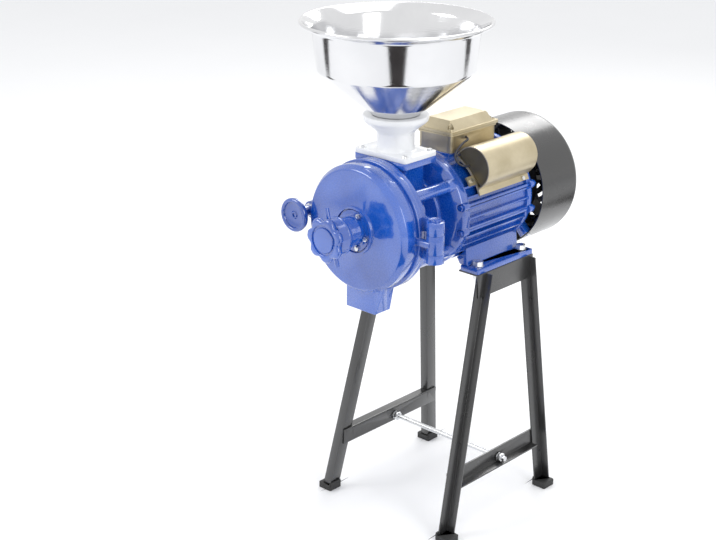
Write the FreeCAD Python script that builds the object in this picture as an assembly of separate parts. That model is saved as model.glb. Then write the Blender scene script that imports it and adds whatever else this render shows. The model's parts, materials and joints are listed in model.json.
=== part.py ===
import FreeCAD, Part
import math
import os

V = FreeCAD.Vector

# Electric grain mill: a hopper over a disc mill, bolted to the front of a foot-mounted motor
# that stands on two splayed frames. Sizes are millimetres.
# Working frame: X to the right, Y back along the shaft, Z up, with the shaft axis at x = z = 0
# and the hopper axis at x = y = 0. Everything is moved to the floor frame as it is written out.

# Fits shared by many pieces
slack = 0.3            # gap between curved faces of different bodies
running = 0.05         # radial clearance of a pin or shaft in its bore
shaft_height = 495.0   # floor to shaft axis

# Hopper
rim_r = 140.0
rim_top = 295.0
rim_bead = 2.6
rim_drop = 12.0        # height of the flared rim
hopper_top_r = 122.0
hopper_low_r = 115.0
hopper_low_z = 223.0
hopper_cone_z = 148.5  # where the cone meets the spout
spout_low_z = 112.0
spout_gap = 0.5
sheet = 1.0

# Feed neck
neck_bore_r = 24.4
neck_wall = 3.2
neck_flare_z = 133.0
collar_r = 48.7
collar_low_z = 149.0
collar_top_z = 157.0
neck_flange_x = 50.5
neck_flange_y = 35.5
neck_flange_t = 7.5
inlet_top_z = 97.0     # machined face that carries the neck
neck_screw_x = 42.0
neck_screw_y = 27.5
neck_screw_r = 2.5
neck_screw_len = 14.0

# Milling chamber
split_y = -47.0        # joint face of housing and cover
cover_face_y = -87.5
cover_face_r = 90.0
cover_r = 96.0
cover_wall = 6.0
flange_r = 98.5
flange_t = 9.0
chamber_r = 86.0
housing_back_y = -27.0
housing_wall = 6.0
barrel_r = 35.0
barrel_bore_r = 27.0
barrel_end_y = 38.0    # face that meets the motor
rear_flange_r = 58.0
rear_flange_t = 8.0
trunk_half = 31.0      # square duct under the inlet
ear_t = 15.0           # depth of the housing's clamp ear
seal_r = 20.0
seal_t = 7.0
tie_circle_r = 82.0
tie_boss_r = 9.5
tie_angles = (38.0, 142.0, 218.0, 322.0)
tie_bolt_r = 4.0

# Outlet chute
chute_x = 28.0
chute_wall = 4.0
chute_low_z = -129.0
chute_front_y = -75.0
chute_rear_low_y = -41.0
chute_rear_top_y = -30.0

# Cover hinge and clamp
hinge_x = 119.0
knuckle_r = 13.0
knuckle_top = 31.0
knuckle_low = -31.0
knuckle_mid_top = 11.0
knuckle_mid_low = -17.0
knuckle_gap = 0.3
hinge_pin_r = 5.0
clamp_x = -114.0
clamp_ear = 13.0
clamp_stud_r = 5.0
clamp_hole_r = 5.9
clamp_engage = 11.0    # how far the stud enters the housing ear
clamp_ear_t = 16.0     # depth of the cover ear
clamp_knob_r = 26.0
clamp_knob_t = 9.0
clamp_neck = 27.5      # from the washer to the knob disc
clamp_washer_t = 2.0

# Grinding discs and their adjustment
disc_r = 70.0
disc_t = 7.0
disc_back_y = -52.0
disc_gap = 0.8
fixed_disc_bore = 24.0
groove_count = 20
groove_w = 3.0
groove_deep = 2.0
groove_start_r = 38.0
groove_slant = 14.0     # degrees off the radius
plate_r = 66.0
plate_t = 6.0
plate_hub_r = 17.0
plate_hub_t = 3.4
guide_r = 3.0
guide_circle = 50.0
plate_screw_circle = 30.0
plate_screw_angles = (9.0, 129.0, 249.0)
plate_screw_r = 2.4
plate_screw_head_r = 4.0
plate_screw_head_t = 2.5
adjust_r = 8.0
adjust_pitch = 2.0
bush_r = 22.0
bush_flange_r = 31.0
bush_flange_t = 3.0
bush_end_y = -120.7
bush_inner_y = -80.0
boss_ring_r = 36.5
boss_ring_w = 3.5
boss_ring_h = 4.5
bush_screw_circle = 26.5
bush_screw_angles = (65.0, -15.0, -70.0, 155.0)
bush_screw_r = 2.2
bush_screw_flats = 7.0
lock_nut_r = 27.0
lock_nut_lip = 1.5
lock_nut_t = 20.0
lock_lever_r = 3.0
lock_lever_tip = 43.0
lock_lever_root = 12.0
lock_lever_back = 7.0  # from the nut's front face
lock_lever_angle = 104.0
star_r = 34.0
star_lobes = 7
star_lobe_r = 8.2
star_first_lobe = 20.0
star_groove_r = 22.6
star_groove_w = 4.0
star_groove_deep = 2.5
star_t = 11.0
star_front_y = -153.0

# Motor
shaft_r = 12.5
bearing_r = 26.0
bearing_t = 15.0
ball_r = 3.9
ball_count = 9
shield_front_y = barrel_end_y
front_bearing_y = 43.0
rear_bearing_y = 217.0
through_angles = (13.0, 167.0, 193.0, 347.0)
ear_face_y = 51.0      # seat of the through bolts' heads
frame_start_y = 64.0
frame_end_y = 212.0
frame_r = 83.0
frame_wall = 6.0
fin_depth = 7.0
fin_w = 3.4
fin_step = 10.0
core_start_y = 88.0
core_end_y = 188.0
air_gap = 0.5
rotor_r = 42.0
winding_len = 17.0
foot_height = 90.0     # shaft axis to the underside of the feet
foot_start_y = 77.0
foot_end_y = 213.0
foot_t = 8.0
foot_out_x = 99.5
foot_in_x = 64.0
foot_bolt_x = 86.0
foot_bolt_ys = (94.0, 199.0)
foot_bolt_r = 5.0
foot_washer_r = 8.8
foot_washer_t = 1.6
foot_nut_flats = 14.0
foot_nut_t = 8.0
rear_shield_end_y = 236.0
fan_cover_start_y = 232.0
fan_cover_end_y = 328.0
fan_cover_over = 10.5   # its radius past the fins
fan_cover_sheet = 1.6
cover_screw_angles = (45.0, 135.0, 225.0, 315.0)
fan_r = 82.0
fan_start_y = 262.0
fan_end_y = 292.0
fan_blades = 8
shaft_tail_y = 298.0
vent_w = 5.0

# Terminal box
box_x = 32.0
box_start_y = 88.0
box_end_y = 195.0
box_seat_z = 84.0
box_top_z = 112.0
box_wall = 3.0
pillar_r = 6.5
lid_over = 3.5
lid_edge_t = 4.5
lid_rise = 13.5
lid_slope = 14.5
gland_y = 141.0
gland_z = 98.0
gland_bore_r = 4.5
gland_r = 9.0
gland_len = 18.0

# Run capacitor on the shoulder of the motor
cap_angle = 44.3
cap_rise = 9.7         # its axis past the fins
cap_r = 32.0
cap_wall = 1.6
cap_start_y = 91.0
cap_end_y = 210.0
cap_can_r = 18.0
cap_base_low_deg = -25.4
cap_base_high_deg = 18.0
cap_base_t = 3.0
cap_seat_gap = 0.1
cap_bridge = 6.0       # strip of the base that carries the front tab
cap_tab = 15.0
cap_tab_shift = -10.0
cap_tab_half = 4.5     # degrees
cap_foot_shift = -22.9 # screw in the strip beside the housing
cap_foot_back = 14.0
cap_screw_head_r = 3.3
lead_r = 1.8
wire_hole_y = 141.0
wire_hole_r = 8.0

# Stand
web_x = 100.0          # outer face of the bracket web at the top
leg_foot_x = 121.0     # outer face of the leg at the floor
bracket_t = 2.5
bracket_in_x = 62.0
web_drop = 37.0
leg_a = 22.0
leg_b = 13.0
leg_t = 2.5
front_leg_top_y = 79.0
front_leg_low_y = -26.0
rear_leg_top_y = 184.0
rear_leg_low_y = 222.0
pad_size = 26.0
pad_t = 10.0
pad_floor = 4.0
crossbar_top_z = -392.0
crossbar_h = 26.0
crossbar_out = 13.0
rod_y = 127.0
rod_z = -408.0
rod_r = 4.0
rod_past = 12.0
rod_washer_r = 7.2
rod_nut_flats = 13.0

# Worked-out places
fin_r = frame_r + fin_depth
shield_r = fin_r
through_circle = shield_r - 2
fan_cover_r = fin_r + fan_cover_over
cap_radial = fin_r + cap_rise
cap_seat_r = fin_r + cap_seat_gap
frame_mid_y = (star_front_y + fan_cover_end_y) / 2
floor_z = -shaft_height
spout_r = neck_bore_r - spout_gap
cone_slope = (hopper_low_z - hopper_cone_z) / (hopper_low_r - spout_r)
neck_r = neck_bore_r + neck_wall
fixed_back_y = disc_back_y - disc_t - disc_gap
fixed_front_y = fixed_back_y - disc_t
plate_front_y = fixed_front_y - plate_t
star_back_y = star_front_y + star_t
lock_back_y = bush_end_y - slack
lock_front_y = lock_back_y - lock_nut_t
clamp_ear_front = split_y - clamp_ear_t
clamp_neck_front = clamp_ear_front - slack - clamp_washer_t - clamp_neck


# Shape helpers
def block(x0, x1, y0, y1, z0, z1):
    return Part.makeBox(x1 - x0, y1 - y0, z1 - z0, V(x0, y0, z0))


def rod_along_y(r, y0, y1, x=0.0, z=0.0):
    return Part.makeCylinder(r, y1 - y0, V(x, y0, z), V(0, 1, 0))


def rod_along_z(r, z0, z1, x=0.0, y=0.0):
    return Part.makeCylinder(r, z1 - z0, V(x, y, z0), V(0, 0, 1))


def rod_along_x(r, x0, x1, y=0.0, z=0.0):
    return Part.makeCylinder(r, x1 - x0, V(x0, y, z), V(1, 0, 0))


def ring_y(outer, inner, y0, y1, x=0.0, z=0.0):
    return rod_along_y(outer, y0, y1, x, z).cut(rod_along_y(inner, y0 - 1, y1 + 1, x, z))


def in_xz(u, v):
    return V(u, 0, v)


def in_xy(u, v):
    return V(u, v, 0)


def in_yz(u, v):
    return V(0, u, v)


def rounded_wire(points, plane):
    # A closed outline; a point's third number is the radius that rounds its corner.
    entries = []
    count = len(points)
    for i, point in enumerate(points):
        at = V(point[0], point[1], 0)
        if len(point) < 3:
            entries.append((at, None, at))
            continue
        before = points[i - 1]
        after = points[(i + 1) % count]
        a = (V(before[0], before[1], 0) - at).normalize()
        b = (V(after[0], after[1], 0) - at).normalize()
        half = a.getAngle(b) / 2
        reach = point[2] / math.tan(half)
        middle = (a + b).normalize()
        crown = at + middle * (point[2] / math.sin(half) - point[2])
        entries.append((at + a * reach, crown, at + b * reach))
    edges = []
    for i, entry in enumerate(entries):
        start, crown, end = entry
        if crown is not None:
            spots = [plane(p.x, p.y) for p in (start, crown, end)]
            edges.append(Part.Arc(*spots).toShape())
        following = entries[(i + 1) % count][0]
        if (following - end).Length > 1e-6:
            edges.append(Part.makeLine(plane(end.x, end.y), plane(following.x, following.y)))
    return Part.Wire(edges)


def turned_y(points):
    # Points are (radius, y), turned about the shaft axis.
    return Part.Face(rounded_wire(points, in_xy)).revolve(V(0, 0, 0), V(0, 1, 0), 360)


def turned_z(points):
    # Points are (radius, z), turned about the hopper axis.
    return Part.Face(rounded_wire(points, in_xz)).revolve(V(0, 0, 0), V(0, 0, 1), 360)


def prism(points, plane, along, start=None):
    solid = Part.Face(rounded_wire(points, plane)).extrude(along)
    if start is not None:
        solid.translate(start)
    return solid


def rounded_block(x0, x1, y0, y1, z0, z1, r):
    corners = [(x0, y0, r), (x1, y0, r), (x1, y1, r), (x0, y1, r)]
    return prism(corners, in_xy, V(0, 0, z1 - z0), V(0, 0, z0))


def about_shaft(shape, degrees):
    # A turn from +X towards +Z.
    turned = shape.copy()
    turned.rotate(V(0, 0, 0), V(0, -1, 0), degrees)
    return turned


def mirrored(shape):
    return shape.mirror(V(0, 0, 0), V(1, 0, 0))


def hexagon_y(across, y0, y1, x=0.0, z=0.0):
    r = across / math.sqrt(3)
    points = [(x + r * math.cos(math.radians(60 * i)), z + r * math.sin(math.radians(60 * i)))
              for i in range(6)]
    return prism(points, in_xz, V(0, y1 - y0, 0), V(0, y0, 0))


def hexagon_z(across, z0, z1, x=0.0, y=0.0):
    solid = hexagon_y(across, 0, z1 - z0)
    solid.rotate(V(0, 0, 0), V(1, 0, 0), 90)
    solid.translate(V(x, y, z0))
    return solid


def hexagon_x(across, x0, x1, y=0.0, z=0.0):
    solid = hexagon_y(across, 0, x1 - x0)
    solid.rotate(V(0, 0, 0), V(0, 0, 1), -90)
    solid.translate(V(x0, y, z))
    return solid


def joined(shapes):
    first = shapes[0]
    return first.fuse(shapes[1:]).removeSplitter()


def less(shape, tools):
    return shape.cut(tools)


def round_spots(radius, degrees):
    return [(radius * math.cos(math.radians(a)), radius * math.sin(math.radians(a))) for a in degrees]


# Hopper and feed neck
def make_hopper():
    lip_r = rim_r - rim_bead
    lip_z = rim_top - rim_bead
    outside = [(lip_r, lip_z), (hopper_top_r, rim_top - rim_drop), (hopper_low_r, hopper_low_z),
               (spout_r, hopper_cone_z), (spout_r, spout_low_z)]
    inside = [(spout_r - sheet, spout_low_z), (spout_r - sheet, hopper_cone_z + sheet * 0.4),
              (hopper_low_r - sheet, hopper_low_z + sheet * 0.4),
              (hopper_top_r - sheet, rim_top - rim_drop + sheet * 0.4), (lip_r, lip_z + sheet * 1.2)]
    shell = turned_z(outside + inside)
    bead = Part.makeTorus(lip_r, rim_bead, V(0, 0, lip_z))
    return joined([shell, bead])


def seat_r(z):
    # Radius of the hopper's cone, with its gap, at a height.
    return spout_r + (z - hopper_cone_z) / cone_slope + spout_gap


def make_feed_neck():
    flange_top = inlet_top_z + neck_flange_t
    body = turned_z([(neck_bore_r, inlet_top_z), (neck_r, inlet_top_z), (neck_r, neck_flare_z, 6.0),
                     (collar_r, collar_low_z, 2.5), (collar_r, collar_top_z),
                     (seat_r(collar_top_z), collar_top_z), (neck_bore_r, hopper_cone_z - 0.5)])
    flange = rounded_block(-neck_flange_x, neck_flange_x, -neck_flange_y, neck_flange_y,
                           inlet_top_z, flange_top, 5.0)
    holes = [rod_along_z(neck_screw_r + 0.2, inlet_top_z - 1, flange_top + 1, x, y) for x, y in neck_screw_spots()]
    bore = rod_along_z(neck_bore_r, inlet_top_z - 1, flange_top + 1)
    plate = less(flange, holes + [bore])
    return joined([plate, body])


def neck_screw_spots():
    return [(sx * neck_screw_x, sy * neck_screw_y) for sx in (-1, 1) for sy in (-1, 1)]


def make_neck_screws():
    flange_top = inlet_top_z + neck_flange_t
    screws = []
    for x, y in neck_screw_spots():
        head = Part.makeCone(4.6, 3.2, 2.6, V(x, y, flange_top), V(0, 0, 1))
        shank = rod_along_z(neck_screw_r, flange_top - neck_screw_len, flange_top, x, y)
        slot = block(x - 3.5, x + 3.5, y - 0.5, y + 0.5, flange_top + 1.4, flange_top + 3)
        screws.append(head.fuse(shank).cut(slot))
    return Part.makeCompound(screws)


# Milling chamber
def tie_spots():
    return round_spots(tie_circle_r, tie_angles)


def chute_half(front):
    # Solid wedge under the chamber on one side of the joint face, and the passage inside it.
    top = -math.sqrt(cover_r ** 2 - chute_x ** 2) + 4
    if front:
        outer = [(split_y, top), (split_y, chute_low_z), (chute_front_y, chute_low_z, 2.0),
                 (chute_front_y, top)]
        inner = [(split_y + 1, top + 40), (split_y + 1, chute_low_z - 1),
                 (chute_front_y + chute_wall, chute_low_z - 1), (chute_front_y + chute_wall, top + 40)]
    else:
        outer = [(split_y, top), (split_y, chute_low_z), (chute_rear_low_y, chute_low_z),
                 (chute_rear_top_y, top)]
        inner = [(split_y - 1, top + 6), (split_y - 1, chute_low_z - 1),
                 (chute_rear_low_y - chute_wall * 0.7, chute_low_z - 1),
                 (chute_rear_top_y - chute_wall - 2, top + 6)]
    inside_x = chute_x - chute_wall
    solid = prism(outer, in_yz, V(2 * chute_x, 0, 0), V(-chute_x, 0, 0))
    passage = prism(inner, in_yz, V(2 * inside_x, 0, 0), V(-inside_x, 0, 0))
    return solid, passage


def make_grinding_housing():
    drum = turned_y([(0, split_y), (flange_r, split_y), (flange_r, split_y + flange_t, 2.0),
                     (chamber_r + 5, split_y + flange_t + 1), (chamber_r + 3, housing_back_y - 3, 5.0),
                     (chamber_r - 16, housing_back_y, 6.0), (0, housing_back_y)])
    barrel = rod_along_y(barrel_r, housing_back_y - 1, barrel_end_y)
    rear_flange = rod_along_y(rear_flange_r, barrel_end_y - rear_flange_t, barrel_end_y)
    ties = [rod_along_y(tie_boss_r, split_y + flange_t, barrel_end_y, x, z) for x, z in tie_spots()]
    arms = []
    for angle in tie_angles:
        arms.append(about_shaft(block(rear_flange_r - 8, tie_circle_r, barrel_end_y - rear_flange_t, barrel_end_y,
                                      -5, 5), angle))
    trunk = rounded_block(-trunk_half, trunk_half, -trunk_half, trunk_half, 20, inlet_top_z - 6, 6.0)
    inlet = rounded_block(-neck_flange_x, neck_flange_x, -neck_flange_y, neck_flange_y,
                          inlet_top_z - 9, inlet_top_z, 5.0)
    gusset_side = [(trunk_half - 1, 40), (trunk_half - 1, inlet_top_z - 8), (neck_flange_x - 2.5, inlet_top_z - 8),
                   (trunk_half + 5, 50)]
    gusset = prism(gusset_side, in_xz, V(0, 8, 0), V(0, -trunk_half, 0))
    gussets = [gusset, mirrored(gusset)]
    ear = block(clamp_x, -80, split_y, split_y + ear_t, -clamp_ear, clamp_ear)
    ear_end = rod_along_y(clamp_ear, split_y, split_y + ear_t, clamp_x, 0)
    knuckles = []
    for low, high in ((knuckle_mid_top + knuckle_gap, knuckle_top), (knuckle_low, knuckle_mid_low - knuckle_gap)):
        knuckles.append(rod_along_z(knuckle_r, low, high, hinge_x, split_y))
        knuckles.append(block(86, hinge_x, split_y, split_y + 12, low, high))
    chute, passage = chute_half(False)
    body = joined([drum, barrel, rear_flange, trunk, inlet, ear, ear_end, chute]
                  + ties + arms + gussets + knuckles)
    cuts = [rod_along_y(chamber_r, split_y - 20, housing_back_y - housing_wall),
            rod_along_y(barrel_bore_r, split_y - 1, barrel_end_y - 14),
            rod_along_y(shaft_r + 3.0, split_y - 1, barrel_end_y + 1),
            rod_along_y(seal_r, barrel_end_y - rear_flange_t, barrel_end_y + 1),
            rod_along_z(neck_bore_r, 5, inlet_top_z + 1),
            rod_along_z(hinge_pin_r, knuckle_low - 1, knuckle_top + 1, hinge_x, split_y),
            rod_along_y(clamp_hole_r, split_y - 1, split_y + ear_t + 1, clamp_x, 0),
            passage]
    cuts += [rod_along_y(tie_bolt_r + slack, split_y + flange_t + 8, barrel_end_y + 1, x, z)
             for x, z in tie_spots()]
    cuts += [rod_along_y(7.5, split_y - 1, split_y + flange_t + 8.1, x, z) for x, z in tie_spots()]
    cuts += [rod_along_z(neck_screw_r, inlet_top_z - 8, inlet_top_z + 1, x, y) for x, y in neck_screw_spots()]
    return less(body, cuts)


def make_tie_bolts():
    bolts = []
    head_y = split_y + flange_t + 2
    for x, z in tie_spots():
        head = rod_along_y(6.8, head_y, head_y + 6, x, z).cut(hexagon_y(6.0, head_y - 1, head_y + 3, x, z))
        shank = rod_along_y(tie_bolt_r, head_y + 6, barrel_end_y + 15, x, z)
        bolts.append(head.fuse(shank))
    return Part.makeCompound(bolts)


def make_shaft_seal():
    start = barrel_end_y - rear_flange_t
    return turned_y([(shaft_r + 0.6, start), (seal_r, start), (seal_r, start + seal_t), (shaft_r + 4, start + seal_t),
                     (shaft_r + 4, start + 2), (shaft_r + 0.6, start + 2)])


def make_front_cover():
    edge_y = cover_face_y + 8
    shell = turned_y([(0, split_y), (flange_r, split_y), (flange_r, split_y - flange_t, 2.0),
                      (cover_r - 3, split_y - flange_t - 0.5), (cover_r - 3, split_y - flange_t - 6),
                      (cover_r, split_y - flange_t - 7), (cover_r, edge_y, 3.0), (cover_face_r, cover_face_y, 4.0),
                      (0, cover_face_y)])
    boss = ring_y(boss_ring_r, boss_ring_r - boss_ring_w, cover_face_y - boss_ring_h, cover_face_y + 1)
    inner_boss = rod_along_y(boss_ring_r, cover_face_y + 1, bush_inner_y)
    ear = block(clamp_x, -88, clamp_ear_front, split_y, -clamp_ear, clamp_ear)
    ear_end = rod_along_y(clamp_ear, clamp_ear_front, split_y, clamp_x, 0)
    knuckle = rod_along_z(knuckle_r, knuckle_mid_low, knuckle_mid_top, hinge_x, split_y)
    arm = rod_along_x(6.0, cover_r - 8, hinge_x, split_y - 8.5, (knuckle_mid_low + knuckle_mid_top) / 2)
    chute, passage = chute_half(True)
    body = joined([shell, boss, ear, ear_end, knuckle, arm, chute])
    cavity = rod_along_y(chamber_r, cover_face_y + cover_wall, split_y + 1)
    body = less(body, [cavity])
    body = joined([body, inner_boss])
    return less(body, [rod_along_y(bush_r + 0.1, cover_face_y - 20, bush_inner_y + 1),
                       rod_along_z(hinge_pin_r + running, knuckle_mid_low - 1, knuckle_mid_top + 1,
                                   hinge_x, split_y),
                       rod_along_y(clamp_stud_r + slack, clamp_ear_front - 1, split_y + 1, clamp_x, 0),
                       passage]
                + [rod_along_y(bush_screw_r, cover_face_y - 1, bush_inner_y + 1, x, z)
                   for x, z in bush_screw_spots()])


def bush_screw_spots():
    return round_spots(bush_screw_circle, bush_screw_angles)


def make_hinge_pin():
    pin = rod_along_z(hinge_pin_r, knuckle_low - 2.5, knuckle_top + 1.0, hinge_x, split_y)
    head = rod_along_z(8.0, knuckle_top, knuckle_top + 3.0, hinge_x, split_y)
    return joined([pin, head])


# Grinding discs
def grooves(front_y, depth_y, first_r):
    cutters = []
    for i in range(groove_count):
        cutter = block(first_r, disc_r + 1, front_y, depth_y, -groove_w / 2, groove_w / 2)
        cutter.rotate(V(first_r, 0, 0), V(0, 1, 0), groove_slant)
        cutters.append(about_shaft(cutter, 360.0 / groove_count * i))
    return cutters


def make_rotating_disc():
    front = disc_back_y - disc_t
    disc = ring_y(disc_r, shaft_r, front, disc_back_y)
    windows = []
    for i in range(3):
        hole = prism([(18.0, -7.0, 2.0), (31.0, -12.0, 2.0), (31.0, 12.0, 2.0), (18.0, 7.0, 2.0)],
                     in_xz, V(0, disc_t + 2, 0), V(0, front - 1, 0))
        windows.append(about_shaft(hole, 120 * i))
    return less(disc, windows + grooves(front - 1, front + groove_deep, groove_start_r))


def make_disc_nut():
    front = disc_back_y - disc_t
    return hexagon_y(19.0, front - 6.0, front).cut(rod_along_y(7.0, front - 7.0, front + 1))


def make_fixed_disc():
    disc = ring_y(disc_r, fixed_disc_bore, fixed_front_y, fixed_back_y)
    sinks = [rod_along_y(plate_screw_head_r + 0.2, fixed_back_y - plate_screw_head_t - 1, fixed_back_y + 1, x, z)
             for x, z in plate_screw_spots()]
    holes = [rod_along_y(plate_screw_r + 0.2, fixed_front_y - 1, fixed_back_y, x, z)
             for x, z in plate_screw_spots()]
    return less(disc, sinks + holes + grooves(fixed_back_y - groove_deep, fixed_back_y + 1, groove_start_r))


def plate_screw_spots():
    return round_spots(plate_screw_circle, plate_screw_angles)


def make_fixed_disc_screws():
    screws = []
    for x, z in plate_screw_spots():
        seat = fixed_back_y - plate_screw_head_t - 0.9
        head = rod_along_y(plate_screw_head_r, seat, seat + plate_screw_head_t, x, z)
        screws.append(head.fuse(rod_along_y(plate_screw_r, plate_front_y + 1, seat, x, z)))
    return Part.makeCompound(screws)


def make_pressure_plate():
    plate = rod_along_y(plate_r, plate_front_y, fixed_front_y)
    hub = rod_along_y(plate_hub_r, plate_front_y - plate_hub_t, plate_front_y + 1)
    body = joined([plate, hub])
    nose = rod_along_y(adjust_r + slack, plate_front_y - plate_hub_t - 1, fixed_front_y - 1.5)
    return less(body, [nose] + [rod_along_y(plate_screw_r, plate_front_y + 0.5, fixed_front_y + 1, x, z)
                                for x, z in plate_screw_spots()]
                + [rod_along_y(guide_r + running, plate_front_y - 1, plate_front_y + 5.2, x, z)
                   for x, z in guide_spots()])


def guide_spots():
    return round_spots(guide_circle, (60.0, 240.0))


def make_guide_pins():
    pins = [rod_along_y(guide_r, cover_face_y + cover_wall, plate_front_y + 1.5, x, z)
            for x, z in guide_spots()]
    return Part.makeCompound(pins)


# Adjusting screw, its bush, lock nut and star knob
def make_threaded_bush():
    start = cover_face_y - bush_flange_t
    body = joined([rod_along_y(bush_r, bush_end_y, bush_inner_y),
                   rod_along_y(bush_flange_r, start, cover_face_y)])
    return less(body, [rod_along_y(adjust_r + slack, bush_end_y - 1, bush_inner_y + 1)]
                + [rod_along_y(bush_screw_r + 0.2, start - 1, cover_face_y + 1, x, z) for x, z in bush_screw_spots()])


def make_bush_screws():
    screws = []
    start = cover_face_y - bush_flange_t
    for x, z in bush_screw_spots():
        head = hexagon_y(bush_screw_flats, start - bush_screw_flats / 2, start, x, z)
        screws.append(head.fuse(rod_along_y(bush_screw_r, start, cover_face_y + 4.5, x, z)))
    return Part.makeCompound(screws)


def make_adjusting_screw():
    nose_y = fixed_front_y - 1.5 - slack
    thread = rod_along_y(adjust_r, star_front_y + 3, nose_y - 2)
    tip = Part.makeCone(adjust_r, adjust_r - 2, 2.0, V(0, nose_y - 2, 0), V(0, 1, 0))
    return joined([thread, tip])


def make_lock_nut():
    nut = turned_y([(adjust_r + slack, lock_front_y), (lock_nut_r, lock_front_y, 2.0),
                    (lock_nut_r, lock_back_y - 3), (lock_nut_r + lock_nut_lip, lock_back_y - 2.5),
                    (lock_nut_r + lock_nut_lip, lock_back_y), (adjust_r + slack, lock_back_y)])
    return less(nut, lock_lever_rods())


def lock_lever_rods():
    rod = rod_along_x(lock_lever_r, lock_lever_root, lock_lever_tip, lock_front_y + lock_lever_back)
    return [about_shaft(rod, a) for a in (lock_lever_angle, lock_lever_angle + 180)]


def make_lock_levers():
    return Part.makeCompound(lock_lever_rods())


def make_star_knob():
    disc = rod_along_y(star_r - 5.5, star_front_y, star_back_y)
    angles = [360.0 / star_lobes * i + star_first_lobe for i in range(star_lobes)]
    lobes = [rod_along_y(star_lobe_r, star_front_y + 1, star_back_y - 1, x, z)
             for x, z in round_spots(star_r - star_lobe_r, angles)]
    body = joined([disc] + lobes)
    dish = ring_y(star_groove_r, star_groove_r - star_groove_w, star_front_y - 1, star_front_y + star_groove_deep)
    bore = rod_along_y(adjust_r, star_front_y + 3, star_back_y + 20)
    return less(body, [dish, bore])


# Clamp
def make_clamp_washer():
    return ring_y(10.0, clamp_stud_r + 0.1, clamp_ear_front - slack - clamp_washer_t,
                  clamp_ear_front - slack, clamp_x, 0)


def make_clamp_stud():
    return rod_along_y(clamp_stud_r, clamp_neck_front - 2, split_y + clamp_engage, clamp_x, 0)


def make_clamp_knob():
    front = clamp_neck_front - clamp_knob_t
    collar_end = clamp_neck_front + clamp_neck - slack
    profile = [(0, front + 4), (clamp_knob_r - 6.5, front + 3, 1.0), (clamp_knob_r - 4.5, front, 1.0),
               (clamp_knob_r, front + 2, 2.0), (clamp_knob_r - 1, clamp_neck_front, 2.0), (9.0, clamp_neck_front, 2.0),
               (8.0, collar_end), (0, collar_end)]
    knob = turned_y(profile)
    knob.translate(V(clamp_x, 0, 0))
    return knob.cut(rod_along_y(clamp_stud_r, clamp_neck_front - 2, collar_end + 1, clamp_x, 0))


# Motor
def make_front_end_shield():
    body = turned_y([(0, shield_front_y), (56, shield_front_y, 4.0), (80, 45, 10.0), (shield_r, 52, 6.0),
                     (shield_r, frame_start_y), (0, frame_start_y)])
    lugs = [rod_along_y(tie_boss_r, shield_front_y, frame_start_y - 6, x, z) for x, z in tie_spots()]
    ears = []
    for angle in through_angles:
        ears.append(about_shaft(rod_along_y(6.5, ear_face_y, frame_start_y, through_circle, 0), angle))
    body = joined([body] + lugs + ears)
    cuts = [rod_along_y(frame_r - frame_wall - 3, 52, frame_start_y + 1).cut(
                rod_along_y(bearing_r + 7, 40, front_bearing_y + bearing_t)),
            rod_along_y(bearing_r, front_bearing_y, frame_start_y + 1),
            rod_along_y(shaft_r + 1.5, 30, frame_start_y)]
    cuts += [rod_along_y(tie_bolt_r, shield_front_y - 1, barrel_end_y + 16, x, z) for x, z in tie_spots()]
    cuts += [about_shaft(rod_along_y(2.6, ear_face_y - 1, frame_start_y + 1, through_circle, 0), a)
             for a in through_angles]
    cuts += [about_shaft(rod_along_y(5.2, shield_front_y, ear_face_y, through_circle, 0), a)
             for a in through_angles]
    return less(body, cuts)


def fin_angles():
    # Fins cover both flanks; the crown carries the box and the lower corners the feet.
    angles = []
    for side in (0, 180):
        for i in range(-5, 4):
            angles.append(side + (i * fin_step if side == 0 else -i * fin_step))
    return angles


def make_stator_frame():
    tube = rod_along_y(frame_r, frame_start_y, frame_end_y)
    collars = [rod_along_y(fin_r - 1, frame_start_y, frame_start_y + 4),
               rod_along_y(fin_r - 1, frame_end_y - 4, frame_end_y)]
    fins = [about_shaft(block(frame_r - 3, fin_r, frame_start_y + 2, frame_end_y - 2, -fin_w / 2, fin_w / 2), a)
            for a in fin_angles()]
    seat = block(-box_x + 2, box_x - 2, box_start_y - 2, box_end_y + 2, frame_r - 20, box_seat_z)
    belly = [about_shaft(block(frame_r - 3, fin_r - 1, frame_start_y + 2, frame_end_y - 2, -2, 2), 270 + a)
             for a in (-16, -8, 0, 8, 16)]
    body = joined([tube, seat] + collars + fins + belly)
    bore = rod_along_y(frame_r - frame_wall, frame_start_y - 1, frame_end_y + 1)
    wire_hole = rod_along_z(wire_hole_r, frame_r - 23, box_seat_z + 1, 0, wire_hole_y)
    bolt_ways = [about_shaft(rod_along_y(2.8, frame_start_y - 1, frame_end_y + 1, through_circle, 0), a)
                 for a in through_angles]
    return less(body, [bore, wire_hole] + bolt_ways)


def make_right_foot():
    y0, y1 = foot_start_y, foot_end_y
    skirt = prism([(50, -66), (71, -48), (75, -foot_height + foot_t), (foot_in_x - 4, -foot_height + foot_t)],
                  in_xz, V(0, y1 - y0 - 12, 0), V(0, y0 + 4, 0))
    plate = rounded_block(foot_in_x, foot_out_x, y0, y1, -foot_height, -foot_height + foot_t, 3.0)
    body = joined([skirt, plate])
    holes = [rod_along_z(foot_bolt_r + 0.5, -foot_height - 1, -foot_height + foot_t + 1, foot_bolt_x, y)
             for y in foot_bolt_ys]
    return less(body, [rod_along_y(fin_r + 0.1, foot_start_y - 1, foot_end_y + 1)] + holes)


def make_foot_bolts():
    bolts = []
    under = -foot_height - bracket_t
    for side in (-1, 1):
        for y in foot_bolt_ys:
            x = side * foot_bolt_x
            top = -foot_height + foot_t
            bolts.append(joined([hexagon_z(foot_nut_flats, top + foot_washer_t, top + 7.6, x, y),
                                 rod_along_z(foot_washer_r, top, top + foot_washer_t, x, y),
                                 rod_along_z(foot_bolt_r, under - 16, top + 2, x, y)]))
    return Part.makeCompound(bolts)


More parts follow.
